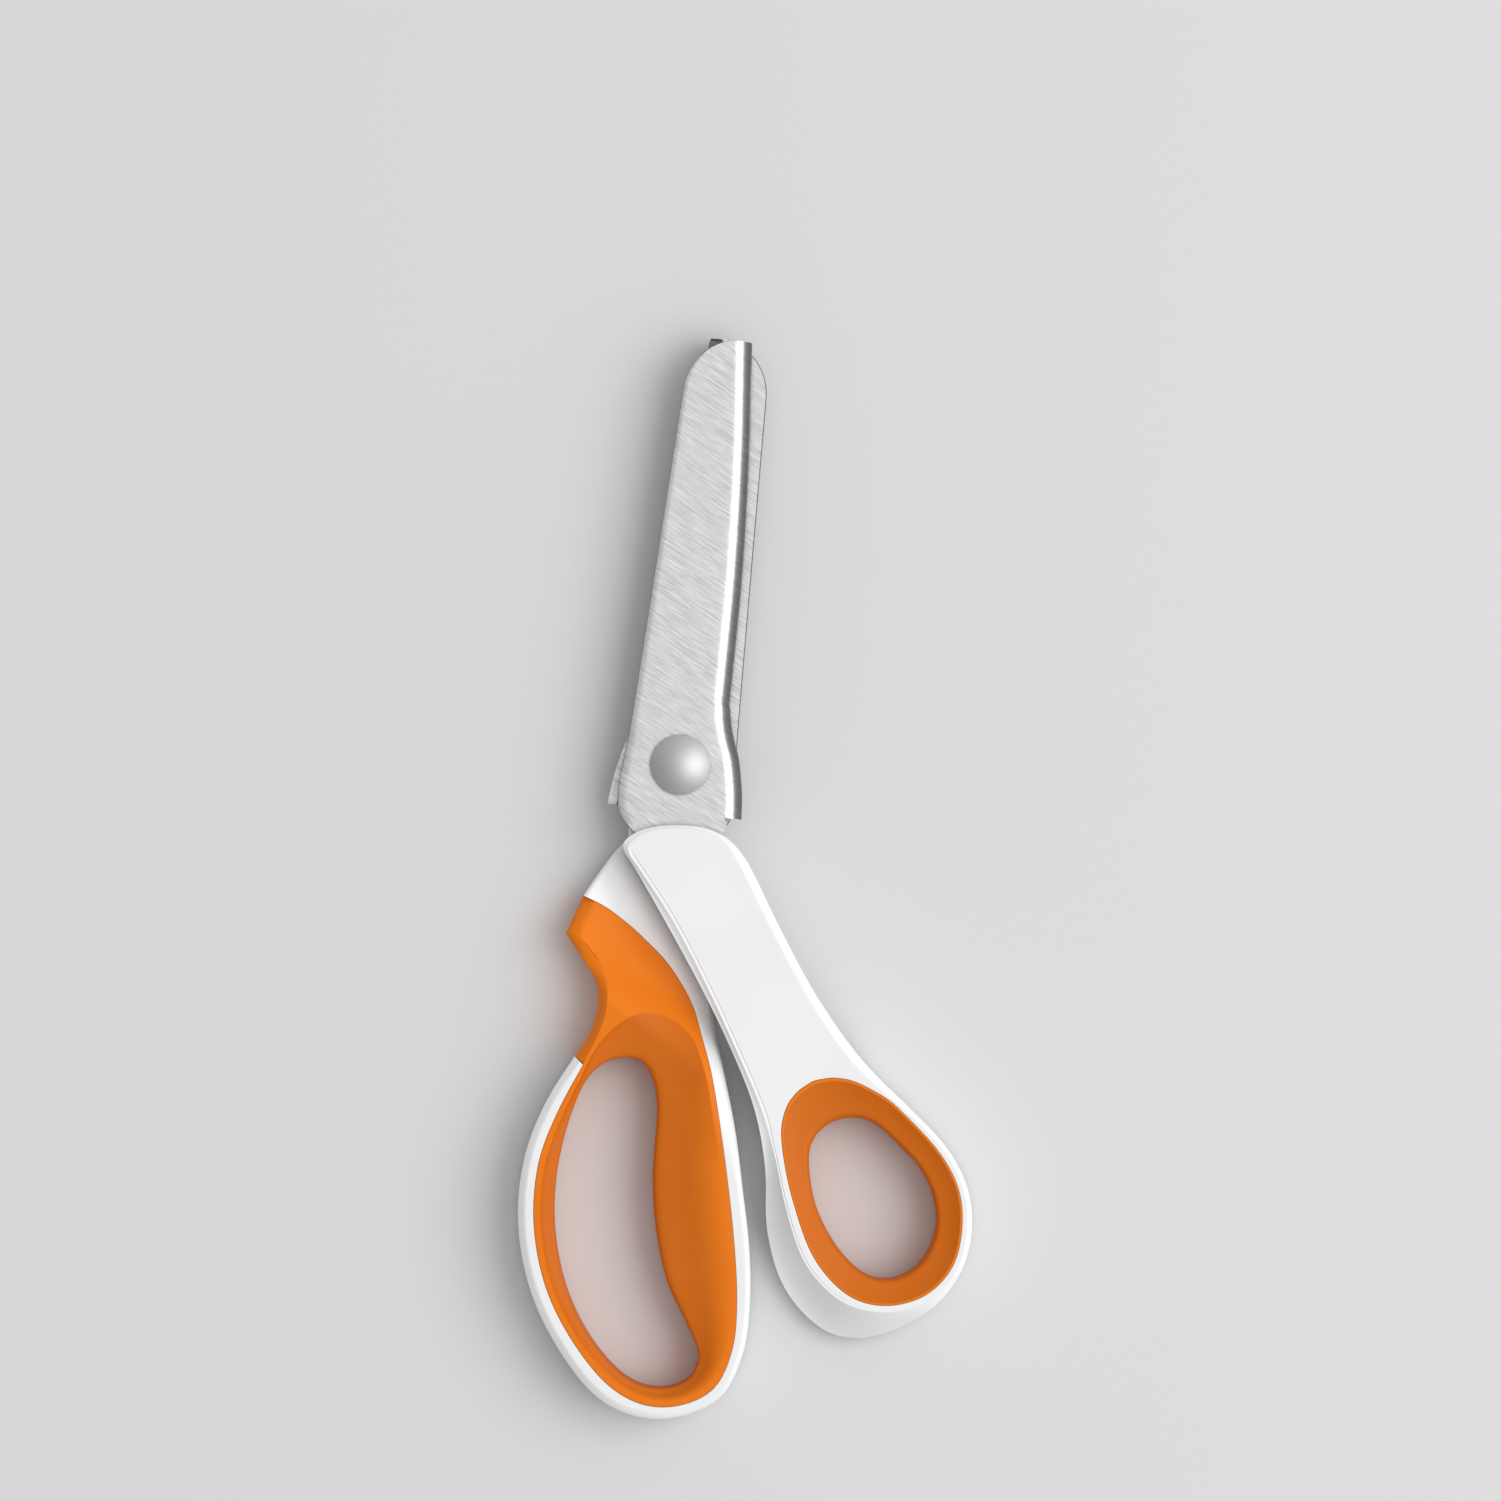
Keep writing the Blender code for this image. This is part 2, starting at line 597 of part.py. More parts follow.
def finger_handle():
    outline, grip_edge, _, hole = finger_loops()
    at = levels(finger_face, finger_under)
    last = (len(FINGER_STATIONS) - 1) * LOOP_STEPS
    seat = inset(grip_edge, -GRIP_GAP / 2)
    tongue = toward(grip_edge, hole, TONGUE_REACH)
    half = TONGUE_THICKNESS / 2
    rim = toward(outline, seat, EDGE_ROUND, 0.35)
    rings = [ring(outline, at(0.5)), ring(outline, at(0.0, -EDGE_ROUND)), ring(rim, at(0.0))]
    rings += [ring(blend(rim, seat, share), at(0.0)) for share in (0.5, 0.85)]
    rings += [ring(seat, at(0.0, -0.4)), ring(seat, at(0.5, half)), ring(tongue, at(0.5, half))]
    rings += [ring(tongue, at(0.5, -half)), ring(seat, at(0.5, -half)), ring(seat, at(1.0, 0.4))]
    rings += [ring(blend(rim, seat, share), at(1.0)) for share in (0.85, 0.0)]
    rings += [ring(outline, at(1.0, EDGE_ROUND))]
    return ring_solid("finger_handle", rings, last)


def shoulder_weights():
    """1 where the grip is the outside of the handle, at the shoulder, and 0 where the white part is."""
    whole = (len(FINGER_STATIONS) - 1) * LOOP_STEPS
    count = (len(FINGER_STATIONS) + len(SHOULDER_STATIONS)) * LOOP_STEPS
    return [1.0 if whole < j < count else 0.0 for j in range(count)]


def finger_grip():
    outline, grip_edge, ridge, hole = finger_loops()
    soft = shoulder_weights()
    edge = inset(grip_edge, GRIP_GAP / 2)
    slot = choose(toward(edge, hole, TONGUE_REACH + GRIP_GAP), inset(edge, 0.05), soft)
    at = levels(finger_face, finger_under)
    half = TONGUE_THICKNESS / 2 + GRIP_GAP
    crown = choose(toward(edge, ridge, 0.5, 0.5), inset(edge, SHOULDER_ROUND), soft)
    bevel = choose(toward(edge, ridge, 0.15, 0.2), inset(edge, SHOULDER_ROUND * 0.35), soft)
    rings = [ring(edge, at(0.24)), ring(bevel, at(0.06)), ring(crown, at(0.0)), ring(ridge, at(0.0))]
    rings += [ring(blend(ridge, hole, 0.5), at(0.2)), ring(blend(ridge, hole, 0.9), at(0.34))]
    rings += [ring(hole, at(0.48)), ring(hole, at(0.62)), ring(blend(ridge, hole, 0.8), at(0.8))]
    rings += [ring(blend(ridge, hole, 0.3), at(0.97)), ring(crown, at(1.0)), ring(bevel, at(0.94))]
    rings += [ring(edge, at(0.76)), ring(edge, at(0.5, -half)), ring(slot, at(0.5, -half))]
    rings += [ring(slot, at(0.5, half)), ring(edge, at(0.5, half))]
    return ring_solid("finger_grip", rings)


def front_half(home, cutters, half, steel, white, orange):
    """The thumb handle and the blade that it works, in front."""
    plate = place(blade("front_blade", 1, 0.0), home, half, steel)
    cut(plate, place(hole_cutter("front_blade_hole"), cutters, half))
    handle = place(thumb_handle(), home, half, white)
    cut(handle, place(tang_pocket("front_tang_pocket", 0.0), cutters, half))
    place(thumb_grip(), home, half, orange)


def back_half(home, cutters, half, steel, white, orange):
    """The finger handle and the blade behind."""
    plate = place(blade("back_blade", -1, BACK_TANG_INSET), home, half, steel)
    turn_over(plate)
    cut(plate, place(hole_cutter("back_blade_hole"), cutters, half))
    handle = place(finger_handle(), home, half, white)
    pocket = place(tang_pocket("back_tang_pocket", BACK_TANG_INSET), cutters, half)
    turn_over(pocket)
    cut(handle, pocket)
    place(finger_grip(), home, half, orange)


def pivot(home, cutters, half, fastener):
    """The bolt is keyed in the back blade, so everything on it stays with the finger half."""
    place(pivot_bolt(), home, half, fastener)
    bore = SHANK_RADIUS + 0.15
    low = PLATE_HIGH + FACE_GAP
    head_washer = washer("head_washer", bore, HEAD_WASHER_RADIUS, low, low + HEAD_WASHER_THICKNESS)
    place(head_washer, home, half, fastener)
    spacer = washer("blade_spacer", bore, SPACER_RADIUS, -PLATE_LOW + FACE_GAP, PLATE_LOW - FACE_GAP)
    place(spacer, home, half, fastener)
    high = -PLATE_HIGH - FACE_GAP
    low = high - SPRING_WASHER_THICKNESS
    place(washer("spring_washer", bore, SPRING_WASHER_RADIUS, low, high), home, half, fastener)
    nut = place(pivot_nut(), home, half, fastener)
    cut(nut, place(slot_cutter(), cutters, half))


def main():
    clear_scene()
    home = collection("pinking_shears")
    cutters = collection("cutters")
    cutters.hide_render = True
    steel = material("blade_steel", (0.62, 0.64, 0.66), 0.35, 1.0)
    fastener = material("fastener_steel", (0.5, 0.51, 0.52), 0.3, 1.0)
    white = material("white_plastic", (0.85, 0.85, 0.85), 0.4, 0.0)
    orange = material("orange_grip", (0.85, 0.22, 0.02), 0.6, 0.0)
    thumb_half = half_of_shears("thumb_half", home)
    finger_half = half_of_shears("finger_half", home)
    front_half(home, cutters, thumb_half, steel, white, orange)
    back_half(home, cutters, finger_half, steel, white, orange)
    pivot(home, cutters, finger_half, fastener)


main()
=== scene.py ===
"""Looks of the pinking shears: fine surfaces, materials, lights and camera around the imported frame."""

import json
import math

import bmesh
import bpy
import numpy as np
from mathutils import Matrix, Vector
from mathutils.geometry import tessellate_polygon


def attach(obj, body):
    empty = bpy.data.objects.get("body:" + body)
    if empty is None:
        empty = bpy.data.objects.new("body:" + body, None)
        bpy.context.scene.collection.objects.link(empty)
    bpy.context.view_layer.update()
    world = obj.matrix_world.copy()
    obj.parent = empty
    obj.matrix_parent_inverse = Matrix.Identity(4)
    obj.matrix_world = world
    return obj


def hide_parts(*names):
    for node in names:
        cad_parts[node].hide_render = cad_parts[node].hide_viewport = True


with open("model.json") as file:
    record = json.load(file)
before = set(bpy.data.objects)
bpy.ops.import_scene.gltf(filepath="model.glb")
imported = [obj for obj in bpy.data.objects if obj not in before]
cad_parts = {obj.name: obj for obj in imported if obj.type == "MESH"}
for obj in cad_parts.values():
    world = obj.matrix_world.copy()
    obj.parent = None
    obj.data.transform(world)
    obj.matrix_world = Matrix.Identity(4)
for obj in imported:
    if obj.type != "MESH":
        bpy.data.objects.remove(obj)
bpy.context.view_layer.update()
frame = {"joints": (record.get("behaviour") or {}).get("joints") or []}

MM = 0.001
PIVOT = np.array(frame["joints"][0]["pos_m"], float)
THUMB = "thumb_half"
FINGER = "finger_half"

# ---------------------------------------------------------------- sizes (mm from the pivot)

PLATE_LOW = 1.70
PLATE_HIGH = 3.70
BEND_RADIUS = 3.40
BEND_WIDER = 0.60
TIP_Y = 95.0
TIP_ARC_LENGTH = 12.0
TIP_ARC_WIDTH = 11.0
FLANGE_END_Y = -10.5
FLANGE_EDGE_Z = 0.20
TOOTH_START = 18.0
TOOTH_PITCH = 4.80
TOOTH_HEIGHT = 2.20
TOOTH_CLEARANCE = 0.30
TOOTH_SAMPLES = 8
WALL_STEPS = 16
PLATE_EDGE_ROUND = 0.22
PLATE_STEPS = 12
TANG_STEPS = 24
BLADE_SHARP = 30.0

FLANGE_LINE = [
    (-10.5, 15.0), (-5.3, 14.5), (-0.9, 13.7), (3.2, 12.7), (6.5, 11.4), (10.3, 10.25),
    (15.6, 9.5), (22.3, 9.3), (44.6, 8.72), (70.0, 7.15), (95.0, 4.7),
]
SPINE_LINE = [(-10.5, -12.7), (-5.0, -12.95), (0.0, -12.5), (8.0, -11.95), (95.0, -8.9)]
TANG_LEFT = [(-10.5, -12.7), (-12.7, -11.7), (-14.9, -9.9), (-17.5, -6.3), (-22.0, -2.5), (-31.0, 2.5)]
TANG_RIGHT = [(-10.5, 11.6), (-12.7, 11.9), (-14.9, 11.0), (-17.5, 10.8), (-22.0, 11.0), (-31.0, 11.0)]
BACK_TANG_INSET = 1.2

SHANK_RADIUS = 3.00
HOLE_RADIUS = 3.25
HEAD_RADIUS = 6.62
HEAD_DOME = 2.60
HEAD_RIM = 0.40
HEAD_WASHER_RADIUS = 6.00
HEAD_WASHER_THICKNESS = 0.30
SPACER_RADIUS = 6.20
SPRING_WASHER_RADIUS = 5.40
SPRING_WASHER_THICKNESS = 0.50
NUT_RADIUS = 5.00
NUT_THICKNESS = 2.30
NUT_SLOT_WIDTH = 1.40
NUT_SLOT_DEPTH = 0.90
FACE_GAP = 0.15
ROUND_STEPS = 128

FACE_Z = 6.60
REST_Z = -7.50
SHANK_GAP_Z = 0.35
EDGE_ROUND = 1.10
SEAM = 0.05
LOOP_STEPS = 8

THUMB_THICKEN_FROM = 56.0
THUMB_THICKEN_OVER = 26.0
FINGER_RISE_POINT = (-8.7, -16.6)
FINGER_RISE_NORMAL = (-0.853, -0.522)
FINGER_RISE_START = 9.0
FINGER_RISE_OVER = 20.0
# Past the crossing the thumb half no longer lies over it, so it rises sooner.
FINGER_CLEAR_FROM = -42.0
FINGER_CLEAR_OVER = 26.0
FINGER_RISE_SOONER = 18.0

# Stations of the thumb handle: outline, edge of the front face, edge of the grip, finger hole.
THUMB_STATIONS = [
    ((-10.5, -19.2), (-9.4, -19.8), (37.4, -66.3), (43.2, -74.7)),
    ((-8.5, -16.5), (-7.7, -17.4), (38.4, -65.8), (44.3, -74.1)),
    ((-4.6, -14.5), (-4.3, -15.2), (39.7, -65.4), (45.6, -73.6)),
    ((1.6, -13.3), (1.7, -14.0), (41.1, -65.0), (46.9, -73.3)),
    ((7.4, -13.3), (7.2, -14.1), (42.5, -64.8), (48.2, -73.2)),
    ((12.4, -15.0), (11.8, -15.9), (43.8, -64.8), (49.4, -73.2)),
    ((17.0, -19.1), (15.6, -20.3), (45.0, -64.8), (50.5, -73.4)),
    ((23.9, -29.6), (22.2, -30.5), (46.2, -65.0), (51.6, -73.7)),
    ((35.3, -46.2), (33.8, -47.2), (47.9, -65.4), (53.0, -74.3)),
    ((45.9, -58.3), (44.5, -59.8), (50.7, -66.4), (54.8, -75.4)),
    ((53.0, -64.5), (52.0, -65.9), (54.7, -68.2), (56.9, -77.0)),
    ((60.3, -70.0), (59.6, -71.0), (59.7, -71.8), (59.3, -78.9)),
    ((69.5, -77.9), (68.7, -78.5), (67.9, -79.0), (62.9, -81.9)),
    ((74.8, -86.2), (73.8, -86.3), (72.8, -86.5), (66.5, -87.0)),
    ((76.6, -95.5), (75.5, -95.3), (74.4, -95.1), (68.5, -93.3)),
    ((75.2, -104.5), (74.2, -103.9), (73.3, -103.3), (67.9, -99.4)),
    ((70.6, -112.2), (69.6, -111.0), (68.7, -109.8), (65.3, -104.4)),
    ((63.4, -118.3), (62.5, -114.6), (61.9, -113.2), (60.5, -107.6)),
    ((54.5, -121.9), (55.0, -115.2), (55.2, -113.6), (55.7, -107.8)),
    ((46.8, -121.1), (48.4, -113.2), (49.5, -111.5), (51.3, -105.7)),
    ((37.1, -113.1), (40.6, -106.3), (42.4, -104.9), (46.2, -100.8)),
    ((31.5, -100.4), (34.8, -94.2), (36.8, -94.0), (41.8, -94.0)),
    ((29.6, -87.2), (31.8, -85.2), (33.6, -85.2), (39.4, -86.6)),
    ((25.7, -74.2), (27.2, -74.0), (31.9, -77.2), (38.8, -81.4)),
    ((19.0, -61.6), (20.5, -62.3), (32.6, -72.2), (39.7, -78.3)),
    ((11.0, -49.1), (12.3, -48.9), (33.9, -69.7), (40.9, -76.6)),
    ((0.8, -34.7), (2.0, -33.8), (35.1, -68.2), (41.7, -75.8)),
    ((-6.8, -24.4), (-5.7, -24.6), (36.3, -67.2), (42.4, -75.2)),
]

# Stations of the finger handle: outline, edge of the grip, ridge of the funnel, finger hole.
FINGER_STATIONS = [
    ((-17.9, -31.4), (-15.0, -32.4), (-0.4, -55.6), (-3.1, -65.9)),
    ((-15.0, -25.8), (-12.0, -33.7), (0.6, -55.6), (-2.7, -65.9)),
    ((-11.6, -20.2), (-8.6, -35.7), (1.6, -55.6), (-2.3, -65.9)),
    ((-8.3, -16.6), (-5.2, -37.9), (2.7, -55.8), (-1.8, -66.0)),
    ((-3.9, -14.3), (-2.6, -39.9), (3.8, -56.0), (-1.3, -66.1)),
    ((1.6, -13.4), (-0.5, -41.5), (4.9, -56.4), (-0.8, -66.4)),
    ((6.0, -13.6), (1.4, -43.1), (5.9, -56.8), (-0.2, -66.8)),
    ((9.6, -15.3), (3.1, -44.8), (6.9, -57.3), (0.4, -67.3)),
    ((11.2, -19.0), (4.7, -46.6), (7.8, -57.9), (1.0, -67.9)),
    ((11.2, -26.5), (6.3, -48.6), (8.8, -58.7), (1.6, -68.7)),
    ((11.3, -36.0), (8.0, -51.0), (9.8, -59.7), (2.2, -69.8)),
    ((12.3, -46.0), (9.8, -54.0), (10.8, -61.0), (2.8, -71.1)),
    ((14.2, -55.4), (11.6, -58.4), (11.8, -62.9), (3.3, -72.8)),
    ((17.6, -65.8), (15.0, -66.8), (14.0, -67.8), (4.1, -76.5)),
    ((21.9, -79.1), (18.7, -79.6), (17.6, -79.9), (4.4, -83.5)),
    ((25.1, -92.0), (22.0, -92.4), (20.9, -92.6), (5.0, -92.5)),
    ((28.2, -105.2), (24.9, -105.4), (23.8, -105.5), (7.0, -103.0)),
    ((29.8, -118.0), (26.9, -118.0), (25.9, -118.1), (10.8, -114.2)),
    ((29.4, -128.5), (27.0, -127.5), (25.9, -127.2), (16.2, -122.9)),
    ((25.8, -138.2), (24.0, -136.4), (23.0, -135.5), (19.8, -129.8)),
    ((17.2, -143.6), (17.0, -141.0), (16.8, -139.9), (18.0, -135.3)),
    ((8.4, -144.8), (9.2, -141.9), (9.7, -140.8), (12.0, -138.0)),
    ((-0.9, -141.9), (1.2, -138.9), (2.3, -138.1), (4.9, -136.8)),
    ((-10.5, -132.9), (-7.8, -130.5), (-6.5, -129.9), (-3.6, -129.9)),
    ((-18.9, -120.1), (-15.6, -118.9), (-14.2, -118.5), (-11.0, -118.9)),
    ((-23.6, -105.0), (-20.1, -104.8), (-18.6, -104.7), (-15.4, -105.4)),
    ((-23.9, -90.5), (-20.6, -91.1), (-19.2, -91.4), (-16.4, -93.0)),
    ((-20.7, -77.9), (-17.7, -79.5), (-16.6, -80.3), (-15.2, -82.0)),
    ((-15.5, -67.0), (-13.4, -68.6), (-13.3, -70.8), (-13.2, -74.2)),
]

# The shoulder, where the grip is the outside of the handle: outline, inner edge of its bevel, ridge, hole.
SHOULDER_STATIONS = [
    ((-15.5, -67.0), (-13.2, -68.2), (-12.5, -68.2), (-12.2, -71.9)),
    ((-13.0, -62.2), (-11.2, -62.5), (-10.4, -63.5), (-10.7, -69.5)),
    ((-11.8, -56.8), (-9.8, -56.9), (-7.2, -59.2), (-8.5, -67.5)),
    ((-12.3, -51.0), (-10.2, -50.4), (-4.3, -56.8), (-6.4, -66.5)),
    ((-15.9, -46.0), (-13.5, -43.7), (-2.7, -55.9), (-5.0, -66.1)),
    ((-20.7, -40.2), (-17.3, -40.4), (-1.7, -55.7), (-4.2, -66.0)),
    ((-17.9, -31.4), (-15.2, -32.6), (-1.0, -55.6), (-3.6, -65.9)),
]
SHOULDER_BEVEL = 2.9
# How far the painted shade in recesses reaches, in metres.
PAINTED_SHADE_REACH = 0.006
SKIRT_SLOPE_SIDE = 0.32
SKIRT_SLOPE_END = 1.25
EDGE_FALL = 0.6
SKIRT_FALL_MOST = 9.0
SKIRT_FULL_WIDTH = 4.0
# The face's plain edge, and the rounded lip round the grip: how wide each is, and how far it falls.
EDGE_LIP = 0.04
GRIP_LIP = 0.15
LIP_ROUND = 0.03
SEAT_FALL = 0.12
# Flat strips beside the bead and beside the grip.
BEAD_MARGIN = 0.3
GRIP_MARGIN = 0.4
# A rim's rounding takes at most its reach divided by this, as a share of the way to the grip.
RIM_ROOM = 2.4
# The ridge of the finger grip is soft between these stations, and changes over this many.
RIDGE_SOFT_FROM = 12.5
RIDGE_SOFT_TO = 23.5
RIDGE_CHANGE = 2.5
# Shares of the way from the finger grip's crown to the ridge of its funnel.
CROWN_SHARES = (0.05, 0.1, 0.17, 0.25, 0.34, 0.44, 0.55, 0.66, 0.78, 0.9, 0.97, 1.0)
# The most that the funnel may sink, as a share of its width and of the grip's height.
FUNNEL_MOST_OF_WIDTH = 0.6
FUNNEL_MOST_OF_HEIGHT = 0.28
# The underside's funnel is this share as deep as the one on the face.
UNDER_FUNNEL = 0.8
FUNNEL_DEPTH = 2.4
# The flare meets the front face in a crease between these stations of the thumb handle.
CREASE_FROM = 18.0
CREASE_TO = 28.3
# Distance in from the crease, then depth below the face.
BEAD_PROFILE = [(0.25, 0.0), (0.45, 0.04), (0.58, 0.15), (0.70, 0.14), (0.90, 0.0)]

# Distance in from the rim, then its depth below the face where the rim is plain and where it is creased.
RIM_PROFILE = [
    (0.0, 1.10, 1.35), (0.08, 0.69, 1.02), (0.32, 0.33, 0.84), (0.65, 0.10, 0.60), (1.1, 0.0, 0.31),
    (1.6, 0.0, 0.0),
]
# Share of the way in across the bevel, then the share of its height still to rise.
BEVEL_PROFILE = [(0.0, 1.0), (0.06, 0.80), (0.3, 0.52), (0.6, 0.26), (0.85, 0.09), (1.0, 0.0)]
# Share of the way from seam to hole, then the depth below the face.
THUMB_FUNNEL = [
    (0.0, 0.12), (0.01, 0.03), (0.025, 0.0), (0.065, 0.0), (0.085, 0.05), (0.14, 0.22), (0.24, 0.50),
    (0.38, 0.84), (0.52, 1.12), (0.66, 1.34), (0.78, 1.48), (0.87, 1.62), (0.93, 1.95), (0.975, 2.8),
    (1.0, 4.0),
]
# Share of the way from ridge to hole, then the share of the depth for a sharp and for a soft ridge.
FUNNEL_PROFILE = [
    (0.015, 0.03, 0.0), (0.06, 0.13, 0.02), (0.14, 0.27, 0.08), (0.25, 0.43, 0.20), (0.37, 0.56, 0.36),
    (0.5, 0.66, 0.53), (0.62, 0.73, 0.67), (0.73, 0.78, 0.76), (0.82, 0.82, 0.82), (0.89, 0.87, 0.87),
    (0.94, 0.94, 0.94), (0.975, 1.06, 1.06), (1.0, 1.3, 1.3),
]
FINGER_CORNERS = (28, 29, 34, 35, 0)
RIM_CREASE_FROM = 19.5

# Camera: straight above, turned so that the blades lean to the right, as wide as the picture.
PICTURE_MM = 333.6
CAMERA_ROLL = 6.87
CAMERA_FROM_PIVOT = (15.13, 5.0)
CAMERA_HEIGHT = 2.4
SENSOR = 36.0


# ---------------------------------------------------------------- curves and meshes

def smoothstep(value):
    value = np.clip(value, 0.0, 1.0)
    return value * value * (3.0 - 2.0 * value)


def mix(a, b, share):
    return a + (b - a) * share


def curve_between(p0, p1, p2, p3, share):
    """A point between p1 and p2 on the centripetal Catmull-Rom curve through all four."""
    t1 = math.dist(p0, p1) ** 0.5
    t2 = t1 + math.dist(p1, p2) ** 0.5
    t3 = t2 + math.dist(p2, p3) ** 0.5
    t = t1 + (t2 - t1) * share
    a1 = mix(p0, p1, t / t1)
    a2 = mix(p1, p2, (t - t1) / (t2 - t1))
    a3 = mix(p2, p3, (t - t2) / (t3 - t2))
    b1 = mix(a1, a2, t / t2)
    b2 = mix(a2, a3, (t - t1) / (t3 - t1))
    return mix(b1, b2, (t - t1) / (t2 - t1))


def smooth_loop(points, corners=()):
    """A smooth closed curve through the points, with a sharp turn at each of the numbered corners."""
    points = np.array(points, float)
    count = len(points)
    made = []
    for i in range(count):
        before, here, there, after = (points[(i + k - 1) % count] for k in range(4))
        if i in corners:
            before = 2 * here - there
        if (i + 1) % count in corners:
            after = 2 * there - here
        for step in range(LOOP_STEPS):
            made.append(curve_between(before, here, there, after, step / LOOP_STEPS))
    made = np.array(made)
    held = [corner * LOOP_STEPS for corner in corners]
    kept = made[held]
    for _ in range(3):
        made = (np.roll(made, 1, 0) + 2 * made + np.roll(made, -1, 0)) / 4
        made[held] = kept
    return made


def loops_of(stations):
    return [smooth_loop(loop) for loop in zip(*stations)]


def inset(loop, distance):
    """The clockwise loop moved inwards by a distance, or by one for each point."""
    ahead = np.roll(loop, -1, 0) - np.roll(loop, 1, 0)
    inward = np.stack([ahead[:, 1], -ahead[:, 0]], 1)
    inward /= np.linalg.norm(inward, axis=1)[:, None]
    return loop + inward * np.reshape(distance, (-1, 1))


def toward(a, b, distance, most=1.0):
    """Each point of a moved a distance towards its partner in b, up to a share of the way."""
    reach = np.linalg.norm(b - a, axis=1)
    share = np.minimum(np.reshape(distance, (-1,)) / np.maximum(reach, 1e-6), most)
    return a + (b - a) * share[:, None]


def at_height(loop, height):
    return np.column_stack([loop, np.broadcast_to(height, (len(loop),))])


def world_points(points_mm):
    return PIVOT + np.asarray(points_mm, float) * MM


def mesh_piece(name, verts_mm, faces, sharp=36.0):
    mesh = bpy.data.meshes.new(name)
    mesh.from_pydata(world_points(verts_mm).tolist(), [], faces)
    shape = bmesh.new()
    shape.from_mesh(mesh)
    bmesh.ops.recalc_face_normals(shape, faces=shape.faces)
    shape.to_mesh(mesh)
    shape.free()
    mesh.shade_smooth()
    mesh.set_sharp_from_angle(angle=math.radians(sharp))
    piece = bpy.data.objects.new(name, mesh)
    bpy.context.scene.collection.objects.link(piece)
    return piece


def flat_between(outer, inner, first):
    """Triangles that fill a flat face between two loops, whose points are numbered from `first`."""
    outlines = [[Vector((x, y, 0.0)) for x, y in loop[:, :2]] for loop in (outer, inner)]
    return [tuple(first + index for index in corners) for corners in tessellate_polygon(outlines)]


def skin(name, rings, last=None, sharp=36.0, flat=None):
    """Skins rings that follow one another round a section. With `last`, the sweep stops there and is capped.
    The step after the ring numbered `flat` is one flat face."""
    count = len(rings[0])
    span = count if last is None else last
    verts = np.concatenate(rings)
    faces = []
    for i in range(len(rings)):
        here = i * count
        after = ((i + 1) % len(rings)) * count
        if i == flat:
            faces += flat_between(rings[i], rings[i + 1], here)
            continue
        for j in range(span):
            k = (j + 1) % count
            faces.append((here + j, here + k, after + k, after + j))
    if last is not None:
        faces.append(tuple(i * count for i in range(len(rings))))
        faces.append(tuple(i * count + last for i in range(len(rings))))
        used = sorted({index for face in faces for index in face})
        place = {index: i for i, index in enumerate(used)}
        verts = verts[used]
        faces = [tuple(place[index] for index in face) for face in faces]
    return mesh_piece(name, verts, faces, sharp)


def with_painted_shade(piece, shares):
    """The piece, with how much painted shade darkens its colour at each vertex."""
    layer = piece.data.attributes.new("painted_funnel_shade", "FLOAT", "POINT")
    layer.data.foreach_set("value", np.array(shares, np.float32))
    return piece


def cut_away(piece, cutter):
    """Takes the cutter out of the piece, and applies the result."""
    step = piece.modifiers.new("cut", "BOOLEAN")
    step.operation = "DIFFERENCE"
    step.solver = "EXACT"
    step.object = cutter
    graph = bpy.context.evaluated_depsgraph_get()
    mesh = bpy.data.meshes.new_from_object(piece.evaluated_get(graph))
    piece.modifiers.clear()
    old, name = piece.data, piece.data.name
    piece.data = mesh
    bpy.data.meshes.remove(old)
    mesh.name = name
    bpy.data.objects.remove(cutter)


# ---------------------------------------------------------------- blades

def line_at(points, distance):
    last = len(points) - 2
    i = 0
    while i < last and distance > points[i + 1][0]:
        i += 1
    (x1, y1), (x2, y2) = points[i], points[i + 1]
    x0, y0 = points[max(i - 1, 0)]
    x3, y3 = points[min(i + 2, last + 1)]
    share = (distance - x1) / (x2 - x1)
    slope1 = (y2 - y0) / (x2 - x0) * (x2 - x1)
    slope2 = (y3 - y1) / (x3 - x1) * (x2 - x1)
    cube, square = share ** 3, share ** 2
    start = (2 * cube - 3 * square + 1) * y1 + (cube - 2 * square + share) * slope1
    return start + (3 * square - 2 * cube) * y2 + (cube - square) * slope2


def spine_at(distance):
    across = line_at(SPINE_LINE, distance)
    past = distance - (TIP_Y - TIP_ARC_LENGTH)
    if past > 0:
        across += TIP_ARC_WIDTH * (1.0 - math.sqrt(max(1.0 - (past / TIP_ARC_LENGTH) ** 2, 0.0)))
    return across


def tooth_height(distance, side):
    if distance < TOOTH_START:
        return FLANGE_EDGE_Z + TOOTH_CLEARANCE / 2
    phase = (distance - TOOTH_START) / TOOTH_PITCH
    wave = 4.0 * abs(phase - math.floor(phase + 0.5)) - 1.0
    return side * wave * TOOTH_HEIGHT / 2 + TOOTH_CLEARANCE / 2


def wall_point(bend_x, radius, edge_z, share):
    centre_z = PLATE_HIGH - BEND_RADIUS
    quarter = radius * math.pi / 2
    if edge_z < centre_z:
        total = quarter + centre_z - edge_z
    else:
        total = radius * math.acos((edge_z - centre_z) / radius)
    along = share * total
    if along > quarter:
        return bend_x + radius + BEND_WIDER, centre_z - (along - quarter)
    angle = along / radius
    return bend_x + (radius + BEND_WIDER) * math.sin(angle), centre_z + radius * math.cos(angle)


def along_blade(distance):
    """Where a row across the blade lies. Rows follow circles about the pivot where there are teeth."""
    bend_x = line_at(FLANGE_LINE, distance) - BEND_RADIUS - BEND_WIDER
    arc = float(smoothstep((distance - 13.0) / 5.0))
    if arc == 0:
        return bend_x, distance, 0.0
    return bend_x, distance - arc * (distance - math.sqrt(distance ** 2 - bend_x ** 2)), arc


